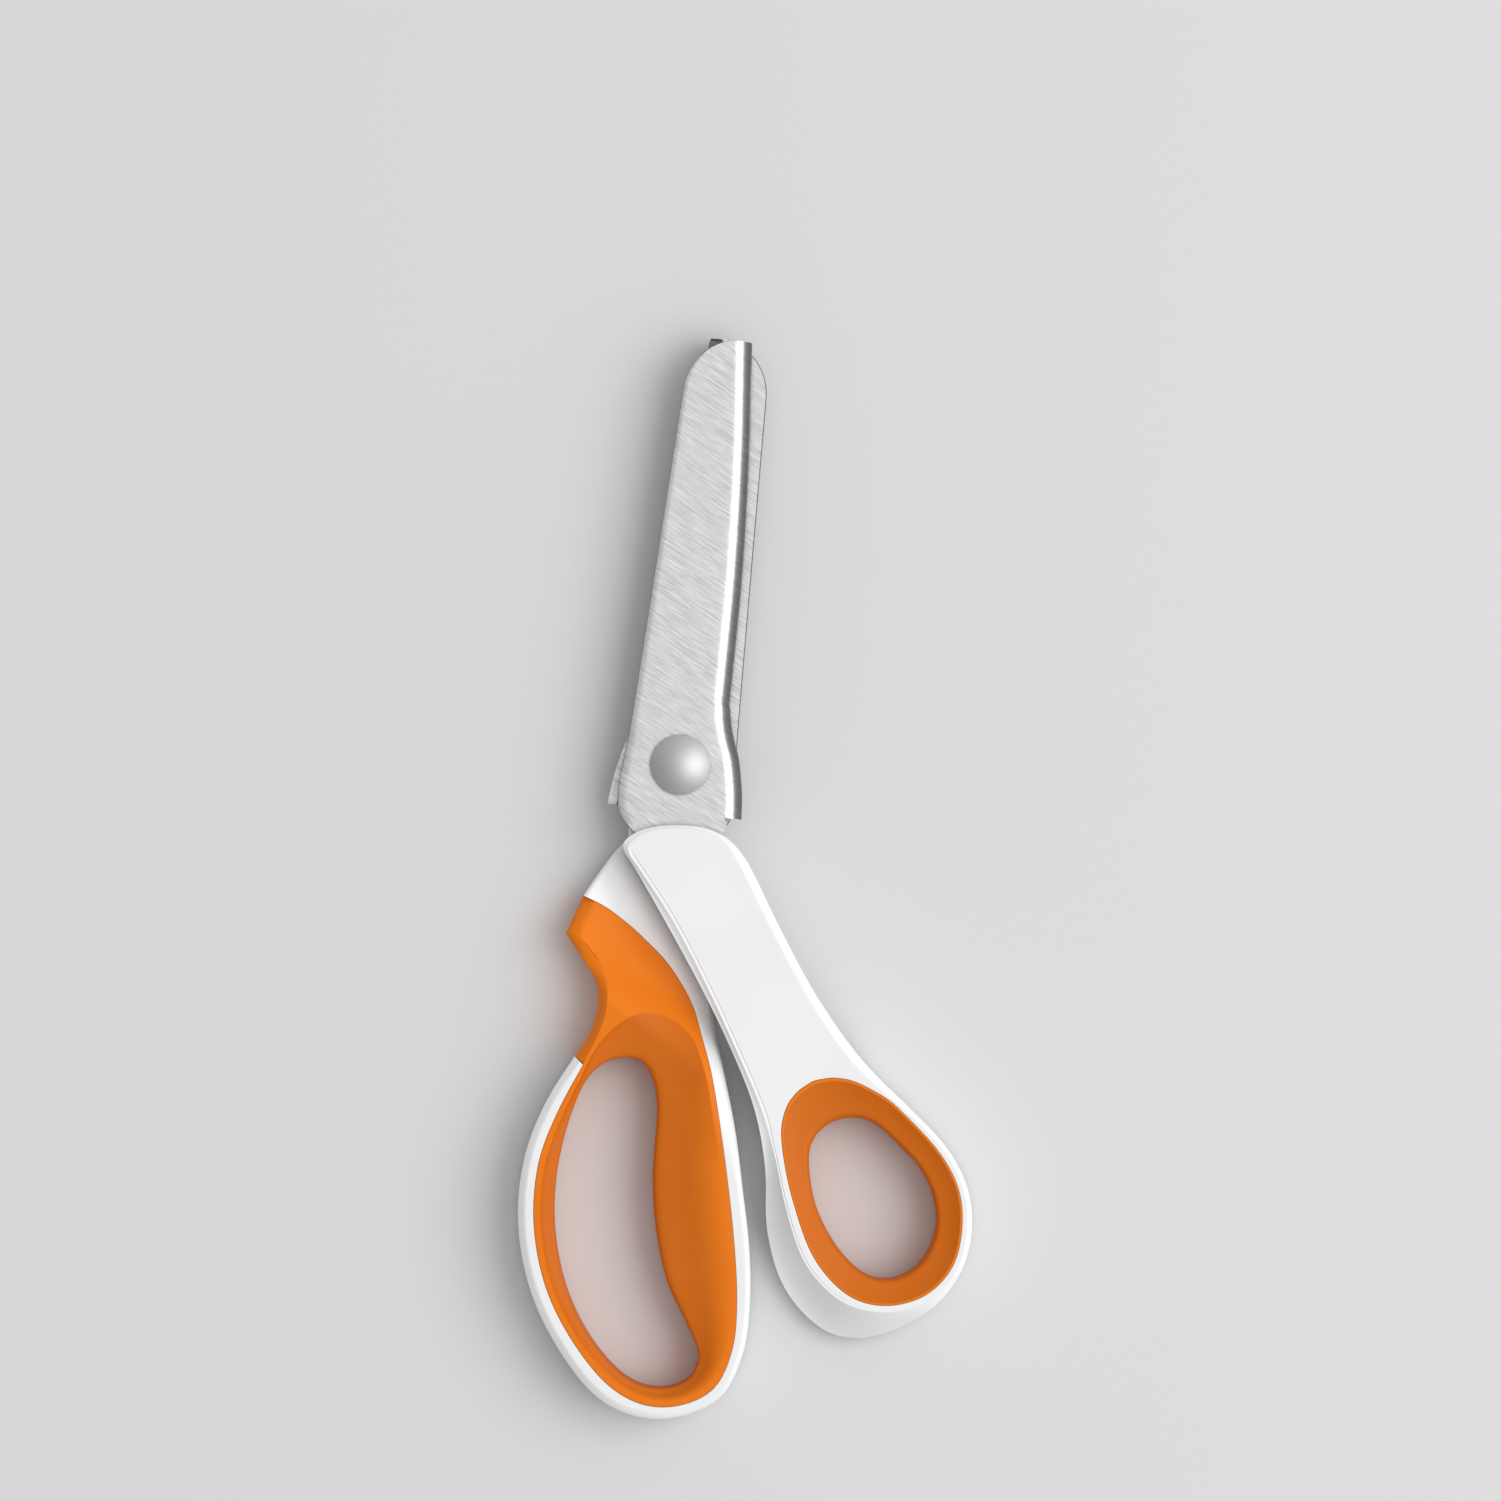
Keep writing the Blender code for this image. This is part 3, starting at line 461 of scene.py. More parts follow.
def plate_points(left, right, y, z, soft):
    """Points across one face of the plate, from its edge at the spine to the bend."""
    return [(mix(left + soft, right, k / PLATE_STEPS), y, z) for k in range(PLATE_STEPS + 1)]


def blade_section(distance, side):
    bend_x, y, arc = along_blade(distance)
    edge_z = tooth_height(distance, side)
    spine = spine_at(y)
    inner_radius = BEND_RADIUS - (PLATE_HIGH - PLATE_LOW)

    def wall(radius):
        made = []
        for k in range(1, WALL_STEPS + 1):
            x, z = wall_point(bend_x, radius, edge_z, k / WALL_STEPS)
            drop = distance - math.sqrt(distance ** 2 - x ** 2) if arc > 0 else 0.0
            made.append((x, distance - arc * drop, z))
        return made

    soft = PLATE_EDGE_ROUND
    section = [(spine, y, PLATE_HIGH - soft), (spine + soft * 0.3, y, PLATE_HIGH - soft * 0.3)]
    section += plate_points(spine, bend_x, y, PLATE_HIGH, soft) + wall(BEND_RADIUS)
    section += wall(inner_radius)[::-1] + plate_points(spine, bend_x, y, PLATE_LOW, soft)[::-1]
    return section + [(spine, y, PLATE_LOW + soft)]


def blade_stations():
    """Distances of the rows from the pivot, close together along the teeth and round the tip."""
    plain = list(np.linspace(TOOTH_START, FLANGE_END_Y, 40))
    step = TOOTH_PITCH / 2 / TOOTH_SAMPLES
    toothed = list(np.arange(TOOTH_START + step, TIP_Y - TIP_ARC_LENGTH, step))
    angles = np.radians(np.linspace(0, 90, 33))
    tip = [TIP_Y - TIP_ARC_LENGTH * (1 - math.sin(angle)) for angle in angles]
    return tip[::-1] + toothed[::-1] + plain


def tang_section(share, right_inset):
    """The plain plate below the flange. The share runs from the flange's end to the tang's end."""
    y = FLANGE_END_Y + (TANG_LEFT[-1][0] - FLANGE_END_Y) * share
    left = line_at([(-a, b) for a, b in TANG_LEFT], -y)
    right = line_at([(-a, b) for a, b in TANG_RIGHT], -y) - right_inset * min(1.0, share * 8)
    soft = PLATE_EDGE_ROUND
    section = [(left, y, PLATE_HIGH - soft), (left + soft * 0.3, y, PLATE_HIGH - soft * 0.3)]
    section += plate_points(left, right, y, PLATE_HIGH, soft)
    return section + plate_points(left, right, y, PLATE_LOW, soft)[::-1] + [(left, y, PLATE_LOW + soft)]


def blade(name, side, right_inset):
    stations = blade_stations()
    count = len(blade_section(30.0, side))
    verts = []
    for distance in stations:
        verts += blade_section(distance, side)
    faces = [tuple(range(count))]
    for i in range(len(stations) - 1):
        for j in range(count):
            k = (j + 1) % count
            faces.append((i * count + j, i * count + k, (i + 1) * count + k, (i + 1) * count + j))
    # the flange ends here, and the plate goes on
    base = (len(stations) - 1) * count
    high = 2 + PLATE_STEPS
    low = count - 2 - PLATE_STEPS
    faces.append(tuple(range(base + high, base + low + 1)))
    row = [base + j for j in range(high + 1)] + [base + j for j in range(low, count)]
    for index in range(1, TANG_STEPS + 1):
        after = list(range(len(verts), len(verts) + len(row)))
        verts += tang_section(index / TANG_STEPS, right_inset)
        for j in range(len(row)):
            k = (j + 1) % len(row)
            faces.append((row[j], row[k], after[k], after[j]))
        row = after
    faces.append(tuple(row))
    verts = [(side * x, y, side * z) for x, y, z in verts]
    piece = mesh_piece(name, verts, faces, sharp=BLADE_SHARP)
    cut_away(piece, turned(name + "_hole", [(0, 8), (HOLE_RADIUS, 8), (HOLE_RADIUS, -8), (0, -8)]))
    piece.data.set_sharp_from_angle(angle=math.radians(BLADE_SHARP))
    return piece


# ---------------------------------------------------------------- pivot

def turned(name, profile, closed=False, sharp=30.0):
    """A solid of revolution about the pivot, from (radius, height) points down its outer side."""
    verts, rows, faces = [], [], []
    for radius, z in profile:
        if radius == 0:
            rows.append([len(verts)])
            verts.append((0.0, 0.0, z))
            continue
        rows.append(list(range(len(verts), len(verts) + ROUND_STEPS)))
        for k in range(ROUND_STEPS):
            angle = 2 * math.pi * k / ROUND_STEPS
            verts.append((radius * math.cos(angle), radius * math.sin(angle), z))
    pairs = list(zip(rows, rows[1:]))
    if closed:
        pairs.append((rows[-1], rows[0]))
    for low, high in pairs:
        for k in range(ROUND_STEPS):
            after = (k + 1) % ROUND_STEPS
            face = [low[k % len(low)], low[after % len(low)], high[after % len(high)], high[k % len(high)]]
            kept = list(dict.fromkeys(face))
            if len(kept) > 2:
                faces.append(tuple(kept))
    return mesh_piece(name, verts, faces, sharp)


def rounded(profile, radius, closed, steps=4):
    """The profile with each corner off the axis replaced by a small arc."""
    made = []
    count = len(profile)
    for i, here in enumerate(profile):
        at_end = not closed and i in (0, count - 1)
        if at_end or here[0] == 0:
            made.append(here)
            continue
        here = np.array(here, float)
        before = np.array(profile[i - 1], float) - here
        after = np.array(profile[(i + 1) % count], float) - here
        reach = min(radius, np.linalg.norm(before) / 2.2, np.linalg.norm(after) / 2.2)
        start = here + before / np.linalg.norm(before) * reach
        end = here + after / np.linalg.norm(after) * reach
        for k in range(steps + 1):
            t = k / steps
            made.append(tuple((1 - t) ** 2 * start + 2 * t * (1 - t) * here + t ** 2 * end))
    return made


def washer(name, bore, outer, low, high):
    profile = [(bore, high), (outer, high), (outer, low), (bore, low)]
    return turned(name, rounded(profile, 0.12, True), closed=True)


def nut_low():
    return -PLATE_HIGH - SPRING_WASHER_THICKNESS - 2 * FACE_GAP - NUT_THICKNESS


def pivot_bolt():
    seat = PLATE_HIGH + HEAD_WASHER_THICKNESS + 2 * FACE_GAP
    end = nut_low() + 0.4
    sphere = (HEAD_RADIUS ** 2 + HEAD_DOME ** 2) / (2 * HEAD_DOME)
    spread = math.asin(HEAD_RADIUS / sphere)
    profile = []
    for k in range(25):
        angle = spread * k / 24
        height = seat + HEAD_RIM + sphere * (math.cos(angle) - math.cos(spread))
        profile.append((sphere * math.sin(angle), height))
    rim = [(HEAD_RADIUS - 0.02, seat + 0.22), (HEAD_RADIUS - 0.25, seat)]
    shank = [(SHANK_RADIUS, seat), (SHANK_RADIUS, end + 0.4), (SHANK_RADIUS - 0.4, end), (0.0, end)]
    return turned("pivot_bolt_fine", profile + rim + shank)


def pivot_nut():
    low = nut_low()
    high = low + NUT_THICKNESS
    bore = SHANK_RADIUS + 0.1
    profile = [
        (bore, high), (NUT_RADIUS, high), (NUT_RADIUS, low + 0.5), (NUT_RADIUS - 0.5, low), (bore, low),
    ]
    piece = turned("pivot_nut_fine", rounded(profile, 0.25, True), closed=True)
    half = NUT_SLOT_WIDTH / 2
    verts = []
    for z in (low - 1.0, low + NUT_SLOT_DEPTH):
        verts += [(-8.0, -half, z), (8.0, -half, z), (8.0, half, z), (-8.0, half, z)]
    faces = [(0, 1, 2, 3), (4, 5, 6, 7), (0, 1, 5, 4), (1, 2, 6, 5), (2, 3, 7, 6), (3, 0, 4, 7)]
    cut_away(piece, mesh_piece("nut_slot", verts, faces))
    piece.data.set_sharp_from_angle(angle=math.radians(30.0))
    return piece


# ---------------------------------------------------------------- handles

def thumb_under(loop):
    share = smoothstep((np.hypot(loop[:, 0], loop[:, 1]) - THUMB_THICKEN_FROM) / THUMB_THICKEN_OVER)
    return SHANK_GAP_Z + (REST_Z - SHANK_GAP_Z) * share


def thumb_face(loop):
    return np.full(len(loop), FACE_Z)


def finger_face(loop):
    reach = (loop[:, 0] - FINGER_RISE_POINT[0]) * FINGER_RISE_NORMAL[0]
    reach = reach + (loop[:, 1] - FINGER_RISE_POINT[1]) * FINGER_RISE_NORMAL[1]
    reach = reach + FINGER_RISE_SOONER * smoothstep((FINGER_CLEAR_FROM - loop[:, 1]) / FINGER_CLEAR_OVER)
    return -SHANK_GAP_Z + (FACE_Z + SHANK_GAP_Z) * smoothstep((reach - FINGER_RISE_START) / FINGER_RISE_OVER)


def finger_under(loop):
    return np.full(len(loop), REST_Z)


def ring(loop, face, under, share, shift=0.0):
    """The loop at a share of the way from the face down to the underside, moved by some millimetres."""
    top = face(loop)
    return at_height(loop, top + (under(loop) - top) * share + shift)


def room_to(loop, other):
    """How far each point of a loop is from the nearest point of another."""
    return np.array([np.linalg.norm(other - point, axis=1).min() for point in loop])


def thumb_fall(outline, face_edge):
    """How far below the face the flared side starts. It is steepest where it faces down the handle."""
    width = np.linalg.norm(face_edge - outline, axis=1)
    downward = np.clip((face_edge - outline)[:, 1] / width, 0.0, 1.0)
    slope = mix(SKIRT_SLOPE_SIDE, SKIRT_SLOPE_END, downward)
    fall = np.minimum(width * slope * smoothstep(width / SKIRT_FULL_WIDTH), SKIRT_FALL_MOST)
    return np.maximum(fall, EDGE_FALL)


def thumb_flare(outline, face_edge, fall, creased):
    """Rings of the flared side, hollow, up to the crease where it meets the face."""
    rings = []
    for t in np.linspace(0.0, 1.0, 11):
        rings.append(at_height(mix(outline, face_edge, t), FACE_Z - fall * (1 - mix(t, t ** 1.7, creased))))
    return rings


def thumb_rim(face_edge, seat, creased):
    """Rings in from the crease: a narrow bead runs along it, with a groove beside it."""
    room = room_to(face_edge, seat)
    rings = [at_height(inset(face_edge, np.minimum(EDGE_LIP, 0.1 * room)), FACE_Z - LIP_ROUND)]
    for distance, depth in BEAD_PROFILE:
        loop = inset(face_edge, np.minimum(distance, 0.3 * distance * room))
        rings.append(at_height(loop, FACE_Z - depth * creased))
    flat_from = np.minimum(BEAD_PROFILE[-1][0] + BEAD_MARGIN, 0.5 * room)
    return rings + [at_height(inset(face_edge, flat_from), FACE_Z)]


def thumb_seat(face_edge, grip_edge, seat):
    """Rings from the flat face over the lip and down the wall that the grip sits against."""
    room = room_to(seat, face_edge)
    lip = inset(grip_edge, -SEAM / 2 - np.minimum(GRIP_LIP, 0.2 * room))
    edge = inset(grip_edge, -SEAM / 2 - np.minimum(LIP_ROUND, 0.1 * room))
    rings = [at_height(inset(grip_edge, -SEAM / 2 - np.minimum(GRIP_MARGIN, 0.3 * room)), FACE_Z)]
    rings += [at_height(lip, FACE_Z), at_height(edge, FACE_Z - LIP_ROUND)]
    rings.append(at_height(seat, FACE_Z - SEAT_FALL))
    for share in (0.3, 0.7):
        rings.append(ring(seat, thumb_face, thumb_under, share))
    rings.append(ring(seat, thumb_face, thumb_under, 1.0, SEAT_FALL))
    return rings + [ring(lip, thumb_face, thumb_under, 1.0)]


def thumb_underside(outline, seat, fall):
    """Rings of the underside, its rounded edge and the wall that rises to the foot of the flare."""
    under_edge = inset(outline, EDGE_ROUND)
    rings = []
    for share in np.linspace(0.93, 0.0, 12):
        rings.append(ring(mix(under_edge, seat, share), thumb_face, thumb_under, 1.0))
    for angle in np.radians([25, 50, 75]):
        loop = inset(outline, EDGE_ROUND * (1 - math.sin(angle)))
        rings.append(ring(loop, thumb_face, thumb_under, 1.0, EDGE_ROUND * (1 - math.cos(angle))))
    low = thumb_under(outline) + EDGE_ROUND
    for share in (0.0, 0.5):
        rings.append(at_height(outline, low + (FACE_Z - fall - low) * share))
    return rings


def thumb_handle():
    outline, face_edge, grip_edge, _ = loops_of(THUMB_STATIONS)
    seat = inset(grip_edge, -SEAM / 2)
    fall = thumb_fall(outline, face_edge)
    place = np.arange(len(outline)) / LOOP_STEPS
    creased = smoothstep((place - CREASE_FROM) / 2.0) * smoothstep(CREASE_TO - place)
    rings = thumb_flare(outline, face_edge, fall, creased) + thumb_rim(face_edge, seat, creased)
    flat = len(rings) - 1
    rings += thumb_seat(face_edge, grip_edge, seat) + thumb_underside(outline, seat, fall)
    return skin("thumb_handle_fine", rings, sharp=32.0, flat=flat)


def thumb_grip():
    outline, _, grip_edge, hole = loops_of(THUMB_STATIONS)
    edge = inset(grip_edge, SEAM / 2)
    rings = [at_height(mix(edge, hole, share), FACE_Z - depth) for share, depth in THUMB_FUNNEL]
    rings += [at_height(mix(edge, hole, share), REST_Z + depth) for share, depth in THUMB_FUNNEL[::-1]]
    # Painted shade: the rings of each funnel, front and back, take a darker colour in place of the shade
    # inside the loop.
    deep = [0.0 if depth < 0.05 else 1.0 for share, depth in THUMB_FUNNEL]
    return with_painted_shade(skin("thumb_grip_fine", rings, sharp=60.0), np.repeat(deep + deep[::-1], len(outline)))


def finger_loops():
    """Outer edge of the grip, its crown inside the bevel, the funnel's ridge and the finger hole."""
    seam = [station[1] for station in FINGER_STATIONS]
    outer = smooth_loop(seam + [station[0] for station in SHOULDER_STATIONS], FINGER_CORNERS)
    bevel = smooth_loop(seam + [station[1] for station in SHOULDER_STATIONS], (28, 29, 35, 0))
    stations = FINGER_STATIONS + SHOULDER_STATIONS
    ridge = smooth_loop([station[2] for station in stations])
    hole = smooth_loop([station[3] for station in stations])
    crown = toward(inset(outer, SEAM / 2), ridge, 0.12, 0.3)
    start = (len(FINGER_STATIONS) - 1) * LOOP_STEPS + 1
    crown[start:] = bevel[start:]
    return outer, crown, ridge, hole


def along_stations():
    """Which station each point of a finger loop is at, as a number with a fraction."""
    return np.arange((len(FINGER_STATIONS) + len(SHOULDER_STATIONS)) * LOOP_STEPS) / LOOP_STEPS


def finger_handle():
    last = (len(FINGER_STATIONS) - 1) * LOOP_STEPS
    outer = [station[0] for station in FINGER_STATIONS]
    between = [station[0] for station in SHOULDER_STATIONS[1:-1]]
    outline = smooth_loop(outer + between, (0, 28, 33))[: last + 1]
    seam = finger_loops()[0][: last + 1]
    seat = inset(seam, -SEAM / 2)
    seat[[0, -1]] = seam[[0, -1]]
    creased = smoothstep((along_stations()[: last + 1] - RIM_CREASE_FROM) / 3.0)
    rings = []
    for reach, plain, folded in RIM_PROFILE:
        loop = toward(outline, seat, reach, reach / RIM_ROOM)
        rings.append(at_height(loop, finger_face(loop) - mix(plain, folded, creased)))
    rim = toward(outline, seat, RIM_PROFILE[-1][0], RIM_PROFILE[-1][0] / RIM_ROOM)
    for share in (0.12, 0.35, 0.6, 0.85):
        rings.append(ring(mix(rim, seat, share), finger_face, finger_under, 0.0))
    lip = toward(seat, rim, GRIP_LIP, 0.3)
    rings.append(ring(lip, finger_face, finger_under, 0.0))
    rings.append(ring(toward(seat, rim, LIP_ROUND, 0.1), finger_face, finger_under, 0.0, -LIP_ROUND))
    rings.append(ring(seat, finger_face, finger_under, 0.0, -SEAT_FALL))
    rings.append(ring(seat, finger_face, finger_under, 0.5))
    rings.append(ring(seat, finger_face, finger_under, 1.0, SEAT_FALL))
    rings.append(ring(lip, finger_face, finger_under, 1.0))
    for share in (0.6, 0.3, 0.0):
        rings.append(ring(mix(rim, seat, share), finger_face, finger_under, 1.0))
    for reach, plain, folded in RIM_PROFILE[::-1]:
        rings.append(at_height(toward(outline, seat, reach, reach / RIM_ROOM), REST_Z + plain))
    return skin("finger_handle_fine", rings, len(outline) - 1, sharp=32.0)


def finger_grip():
    outer, crown, ridge, hole = finger_loops()
    place = along_stations()
    start = len(FINGER_STATIONS) - 1
    shoulder = (place > start + 0.01).astype(float)
    edge = inset(outer, SEAM / 2)
    # the ridge is sharp above the hole, and rolls over softly down its right side
    soft = smoothstep((place - RIDGE_SOFT_FROM) / RIDGE_CHANGE)
    soft *= smoothstep((RIDGE_SOFT_TO - place) / RIDGE_CHANGE)
    drop = mix(SEAT_FALL, SHOULDER_BEVEL, shoulder)
    rings = []
    for share, height in BEVEL_PROFILE:
        loop = mix(edge, crown, share)
        rings.append(at_height(loop, finger_face(loop) - drop * height))
    for share in CROWN_SHARES:
        rings.append(ring(mix(crown, ridge, share), finger_face, finger_under, 0.0))
    flat_rings = len(rings)
    depth = np.minimum(FUNNEL_DEPTH, FUNNEL_MOST_OF_WIDTH * np.linalg.norm(hole - ridge, axis=1))
    depth = np.minimum(depth, FUNNEL_MOST_OF_HEIGHT * (finger_face(ridge) - REST_Z))
    for share, sharp_down, soft_down in FUNNEL_PROFILE:
        loop = mix(ridge, hole, share)
        rings.append(at_height(loop, finger_face(loop) - depth * mix(sharp_down, soft_down, soft)))
    for share, sharp_down, soft_down in FUNNEL_PROFILE[::-1]:
        loop = mix(ridge, hole, share)
        rings.append(at_height(loop, REST_Z + depth * UNDER_FUNNEL * mix(sharp_down, soft_down, soft)))
    rings.append(at_height(ridge, REST_Z))
    flat = len(rings) - 1
    room = np.linalg.norm(ridge - crown, axis=1)
    rings.append(at_height(inset(crown, np.minimum(0.3, 0.3 * room)), REST_Z))
    for share, height in BEVEL_PROFILE[::-1]:
        rings.append(at_height(mix(edge, crown, share), REST_Z + drop * height))
    # Painted shade: the funnel's rings, and partly the ring at its ridge, take a darker colour in place of
    # the shade inside the loop.
    deep = np.zeros((len(rings), len(outer)))
    deep[flat_rings - 1] = 0.35 * (1 - soft)
    for i, (share, _, _) in enumerate(FUNNEL_PROFILE):
        deep[flat_rings + i] = mix(1.0, float(smoothstep(share / 0.5)), soft)
        deep[flat_rings + len(FUNNEL_PROFILE) + i] = 1.0
    return with_painted_shade(skin("finger_grip_fine", rings, sharp=40.0, flat=flat), deep.reshape(-1))


# ---------------------------------------------------------------- materials

def new_material(name):
    made = bpy.data.materials.new(name)
    made.use_nodes = True
    return made, made.node_tree.nodes, made.node_tree.links


def streaks(nodes, links, angle, length, width, detail, rough):
    """Noise drawn out into strokes of that length and width in metres, at an angle in the blades' plane."""
    place = nodes.new("ShaderNodeTexCoord")
    frame_of = nodes.new("ShaderNodeMapping")
    frame_of.vector_type = "TEXTURE"
    frame_of.inputs["Rotation"].default_value = (0.0, 0.0, math.radians(angle))
    frame_of.inputs["Scale"].default_value = (length, width, 0.01)
    noise = nodes.new("ShaderNodeTexNoise")
    noise.inputs["Scale"].default_value = 1.0
    noise.inputs["Detail"].default_value = detail
    noise.inputs["Roughness"].default_value = rough
    links.new(place.outputs["Object"], frame_of.inputs["Vector"])
    links.new(frame_of.outputs["Vector"], noise.inputs["Vector"])
    return noise


def ramp(nodes, links, source, stops):
    made = nodes.new("ShaderNodeValToRGB")
    while len(made.color_ramp.elements) < len(stops):
        made.color_ramp.elements.new(0.5)
    for element, (place, value) in zip(made.color_ramp.elements, stops):
        element.position = place
        element.color = (*value, 1.0) if hasattr(value, "__len__") else (value, value, value, 1.0)
    links.new(source, made.inputs["Fac"])
    return made


def multiply(nodes, links, a, b, share):
    made = nodes.new("ShaderNodeMix")
    made.data_type = "RGBA"
    made.blend_type = "MULTIPLY"
    made.inputs[0].default_value = share
    links.new(a, made.inputs[6])
    links.new(b, made.inputs[7])
    return made


def painted_recess_shade(nodes, links, colour, reach, stops):
    """The colour, darkened by painted shade in recesses and in corners next to other pieces."""
    shade = nodes.new("ShaderNodeAmbientOcclusion")
    shade.samples = 8
    shade.inputs["Distance"].default_value = reach
    tone = ramp(nodes, links, shade.outputs["AO"], stops)
    return multiply(nodes, links, colour, tone.outputs["Color"], 1.0).outputs[2]


def blade_steel():
    made, nodes, links = new_material("blade_steel")
    shader = nodes["Principled BSDF"]
    shader.inputs["Metallic"].default_value = 1.0
    broad = streaks(nodes, links, -26.0, 0.007, 0.0005, 3.0, 0.6)
    fine = streaks(nodes, links, -28.0, 0.0035, 0.00015, 4.0, 0.65)
    tones = [(0.3, (0.64, 0.645, 0.655)), (0.7, (0.90, 0.905, 0.91))]
    broad_tone = ramp(nodes, links, broad.outputs["Fac"], tones)
    fine_tone = ramp(nodes, links, fine.outputs["Fac"], [(0.3, 0.72), (0.7, 1.04)])
    colour = multiply(nodes, links, broad_tone.outputs["Color"], fine_tone.outputs["Color"], 1.0)
    # painted shade: faces turned away from upright, the rolled flange's wall and the plates' edges, are
    # darkened in place of the dark surroundings they would reflect, while the plate's face stays bright
    facing = nodes.new("ShaderNodeSeparateXYZ")
    links.new(nodes.new("ShaderNodeTexCoord").outputs["Normal"], facing.inputs[0])
    upright = nodes.new("ShaderNodeMath")
    upright.operation = "ABSOLUTE"
    links.new(facing.outputs["Z"], upright.inputs[0])
    wall = ramp(nodes, links, upright.outputs[0], [(0.0, 0.20), (0.86, 0.30), (0.965, 1.0)])
    colour = multiply(nodes, links, colour.outputs[2], wall.outputs["Color"], 1.0)
    # painted shade: the steel's colour is darkened in recesses and beside other pieces
    shaded = painted_recess_shade(nodes, links, colour.outputs[2], 0.003, [(0.30, 0.6), (0.75, 1.0)])
    links.new(shaded, shader.inputs["Base Color"])
    rough = ramp(nodes, links, fine.outputs["Fac"], [(0.25, 0.42), (0.75, 0.28)])
    links.new(rough.outputs["Color"], shader.inputs["Roughness"])
    bump = nodes.new("ShaderNodeBump")
    bump.inputs["Strength"].default_value = 0.35
    bump.inputs["Distance"].default_value = 0.00003
    links.new(fine.outputs["Fac"], bump.inputs["Height"])
    links.new(bump.outputs["Normal"], shader.inputs["Normal"])
    return made


def fastener_steel():
    made, nodes, links = new_material("fastener_steel")
    shader = nodes["Principled BSDF"]
    shader.inputs["Metallic"].default_value = 1.0
    grain = streaks(nodes, links, 40.0, 0.0006, 0.0006, 5.0, 0.6)
    tone = ramp(nodes, links, grain.outputs["Fac"], [(0.3, (0.585, 0.59, 0.60)), (0.7, (0.62, 0.625, 0.635))])
    links.new(tone.outputs["Color"], shader.inputs["Base Color"])
    rough = ramp(nodes, links, grain.outputs["Fac"], [(0.3, 0.54), (0.7, 0.58)])
    links.new(rough.outputs["Color"], shader.inputs["Roughness"])
    return made


def moulded(name, colour, darker, roughness, grain_size, bump_depth):
    """Moulded plastic: a fine spark-eroded grain, and a faint broad change of tone. Returns that tone too."""
    made, nodes, links = new_material(name)
    shader = nodes["Principled BSDF"]
    broad = streaks(nodes, links, 0.0, 0.02, 0.02, 2.0, 0.5)
    tone = ramp(nodes, links, broad.outputs["Fac"], [(0.35, darker), (0.65, colour)])
    grain = streaks(nodes, links, 20.0, grain_size, grain_size, 3.0, 0.6)
    rough = ramp(nodes, links, grain.outputs["Fac"], [(0.3, roughness - 0.04), (0.7, roughness + 0.05)])
    links.new(rough.outputs["Color"], shader.inputs["Roughness"])
    bump = nodes.new("ShaderNodeBump")
    bump.inputs["Strength"].default_value = 0.3
    bump.inputs["Distance"].default_value = bump_depth
    links.new(grain.outputs["Fac"], bump.inputs["Height"])
    links.new(bump.outputs["Normal"], shader.inputs["Normal"])
    return made, tone.outputs["Color"]


def white_plastic():
    made, tone = moulded("white_plastic", (0.90, 0.90, 0.90), (0.875, 0.875, 0.88), 0.34, 0.0005, 0.00001)
    nodes, links = made.node_tree.nodes, made.node_tree.links
    shader = nodes["Principled BSDF"]
    # painted shade: the white is darkened in recesses, beside other pieces and near the floor
    shade = [(0.30, 0.45), (0.65, 0.86), (0.92, 1.0)]
    links.new(painted_recess_shade(nodes, links, tone, PAINTED_SHADE_REACH, shade), shader.inputs["Base Color"])
    shader.inputs["Coat Weight"].default_value = 0.1
    return made


def orange_grip():
    """Soft matt rubber, with painted shade darkening its colour inside the loops."""
    made, tone = moulded("orange_grip", (0.85, 0.202, 0.003), (0.825, 0.191, 0.002), 0.55, 0.0004, 0.00003)
    nodes, links = made.node_tree.nodes, made.node_tree.links
    shader = nodes["Principled BSDF"]
    # painted shade: the colour darkens where the vertex attribute marks the sunken funnels
    inside = nodes.new("ShaderNodeAttribute")
    inside.attribute_name = "painted_funnel_shade"
    depth = ramp(nodes, links, inside.outputs["Fac"], [(0.0, (1.0, 1.0, 1.0)), (1.0, (0.76, 0.72, 1.0))])
    deeper = multiply(nodes, links, tone, depth.outputs["Color"], 1.0)
    links.new(deeper.outputs[2], shader.inputs["Base Color"])
    shader.inputs["Specular IOR Level"].default_value = 0.22
    return made


# ---------------------------------------------------------------- scene

def finish_piece(piece, node, body, surface):
    piece.data.materials.clear()
    piece.data.materials.append(surface)
    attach(piece, body)
    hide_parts(node)


def build_shears():
    steel, metal, white, orange = blade_steel(), fastener_steel(), white_plastic(), orange_grip()
    finish_piece(blade("front_blade_fine", 1, 0.0), "front_blade", THUMB, steel)
    finish_piece(blade("back_blade_fine", -1, BACK_TANG_INSET), "back_blade", FINGER, steel)
    finish_piece(pivot_bolt(), "pivot_bolt", FINGER, metal)
    bore = SHANK_RADIUS + 0.15
    low = PLATE_HIGH + FACE_GAP
    piece = washer("head_washer_fine", bore, HEAD_WASHER_RADIUS, low, low + HEAD_WASHER_THICKNESS)
    finish_piece(piece, "head_washer", FINGER, metal)
    piece = washer("blade_spacer_fine", bore, SPACER_RADIUS, -PLATE_LOW + FACE_GAP, PLATE_LOW - FACE_GAP)
    finish_piece(piece, "blade_spacer", FINGER, metal)
    high = -PLATE_HIGH - FACE_GAP
    piece = washer("spring_washer_fine", bore, SPRING_WASHER_RADIUS, high - SPRING_WASHER_THICKNESS, high)
    finish_piece(piece, "spring_washer", FINGER, metal)
    finish_piece(pivot_nut(), "pivot_nut", FINGER, metal)
    finish_piece(thumb_handle(), "thumb_handle", THUMB, white)
    finish_piece(thumb_grip(), "thumb_grip", THUMB, orange)
    finish_piece(finger_handle(), "finger_handle", FINGER, white)
    finish_piece(finger_grip(), "finger_grip", FINGER, orange)


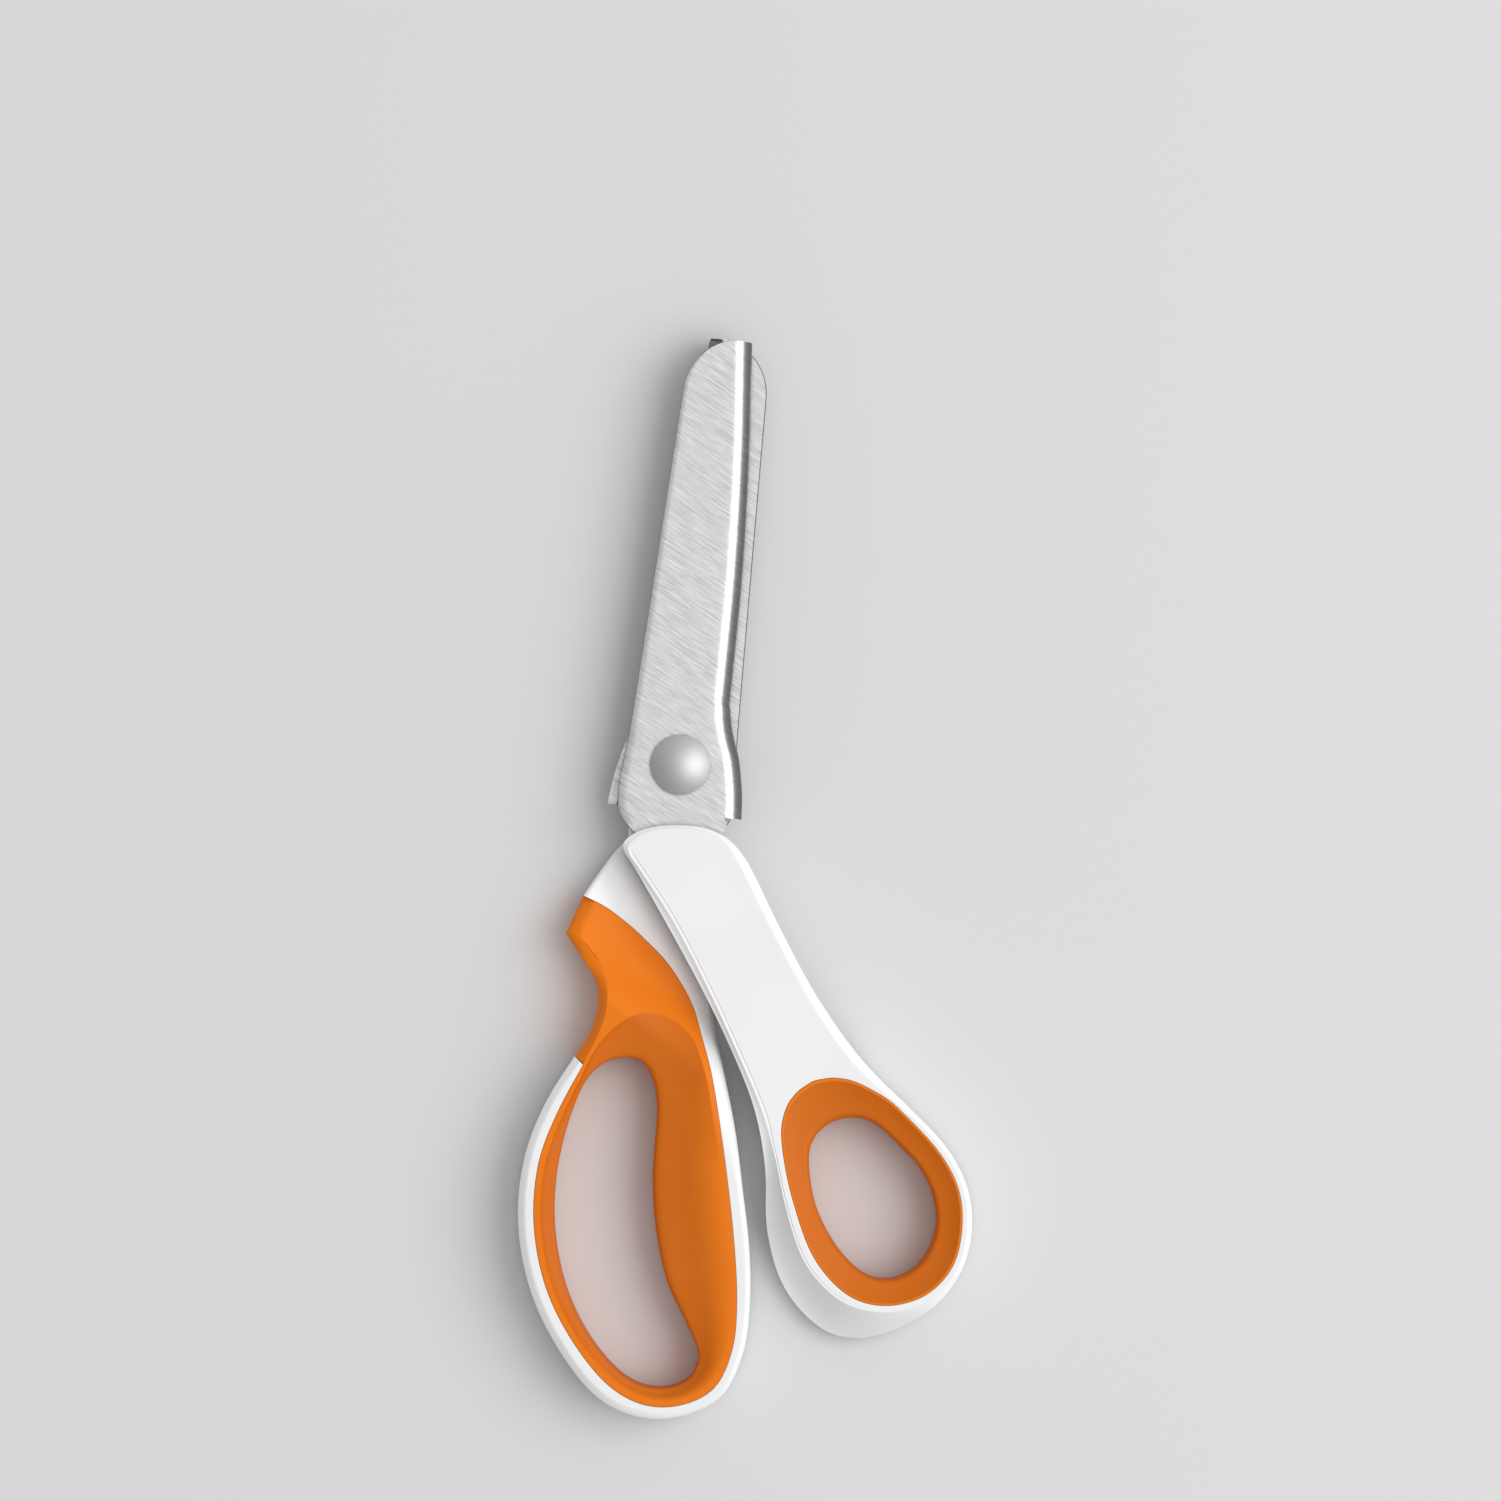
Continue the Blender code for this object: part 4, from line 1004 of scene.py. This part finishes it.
def floor():
    mesh = bpy.data.meshes.new("floor")
    half = 6.0
    corners = [(-half, -half, 0), (half, -half, 0), (half, half, 0), (-half, half, 0)]
    mesh.from_pydata(corners, [], [(0, 1, 2, 3)])
    made = bpy.data.objects.new("floor", mesh)
    made.location.z = -0.0001
    bpy.context.scene.collection.objects.link(made)
    surface, nodes, _ = new_material("floor")
    nodes["Principled BSDF"].inputs["Base Color"].default_value = (0.72, 0.72, 0.72, 1.0)
    nodes["Principled BSDF"].inputs["Roughness"].default_value = 0.9
    mesh.materials.append(surface)


def panel(name, place, size, power, target=(0.0, 0.0, 0.0), colour=(1.0, 1.0, 1.0)):
    """A soft box: a square area light that faces its target."""
    light = bpy.data.lights.new(name, "AREA")
    light.shape = "SQUARE"
    light.size = size
    light.energy = power
    light.color = colour
    made = bpy.data.objects.new(name, light)
    made.location = place
    away = np.array(place, float) - np.array(target, float)
    made.rotation_euler = Vector(away).to_track_quat("Z", "Y").to_euler()
    bpy.context.scene.collection.objects.link(made)


def lights():
    """Even light from all round, brighter to the right, under a large soft box on that side."""
    world = bpy.data.worlds.new("studio")
    bpy.context.scene.world = world
    world.use_nodes = True
    nodes, links = world.node_tree.nodes, world.node_tree.links
    place = nodes.new("ShaderNodeTexCoord")
    turn = nodes.new("ShaderNodeVectorMath")
    turn.operation = "DOT_PRODUCT"
    turn.inputs[1].default_value = (0.34, 0.20, 0.0)
    links.new(place.outputs["Generated"], turn.inputs[0])
    shift = nodes.new("ShaderNodeMath")
    shift.operation = "ADD"
    shift.inputs[1].default_value = 0.5
    links.new(turn.outputs["Value"], shift.inputs[0])
    tone = ramp(nodes, links, shift.outputs[0], [(0.0, 0.25), (0.5, 0.62), (1.0, 0.95)])
    back = nodes["Background"]
    links.new(tone.outputs["Color"], back.inputs["Color"])
    back.inputs["Strength"].default_value = 1.0
    panel("key", (1.38, 0.22, 1.72), 1.9, 26.5)
    panel("overhead", (0.0, 0.0, 3.2), 1.3, 1.8)


def camera():
    data = bpy.data.cameras.new("camera")
    data.type = "PERSP"
    data.sensor_width = SENSOR
    data.lens = SENSOR * CAMERA_HEIGHT / (PICTURE_MM * MM)
    data.clip_end = 50.0
    made = bpy.data.objects.new("camera", data)
    x = PIVOT[0] + CAMERA_FROM_PIVOT[0] * MM
    y = PIVOT[1] + CAMERA_FROM_PIVOT[1] * MM
    made.location = (x, y, PIVOT[2] + CAMERA_HEIGHT)
    made.rotation_euler = (0.0, 0.0, math.radians(CAMERA_ROLL))
    bpy.context.scene.collection.objects.link(made)
    bpy.context.scene.camera = made


bpy.context.scene.view_settings.view_transform = "Standard"
camera()
build_shears()
floor()
lights()
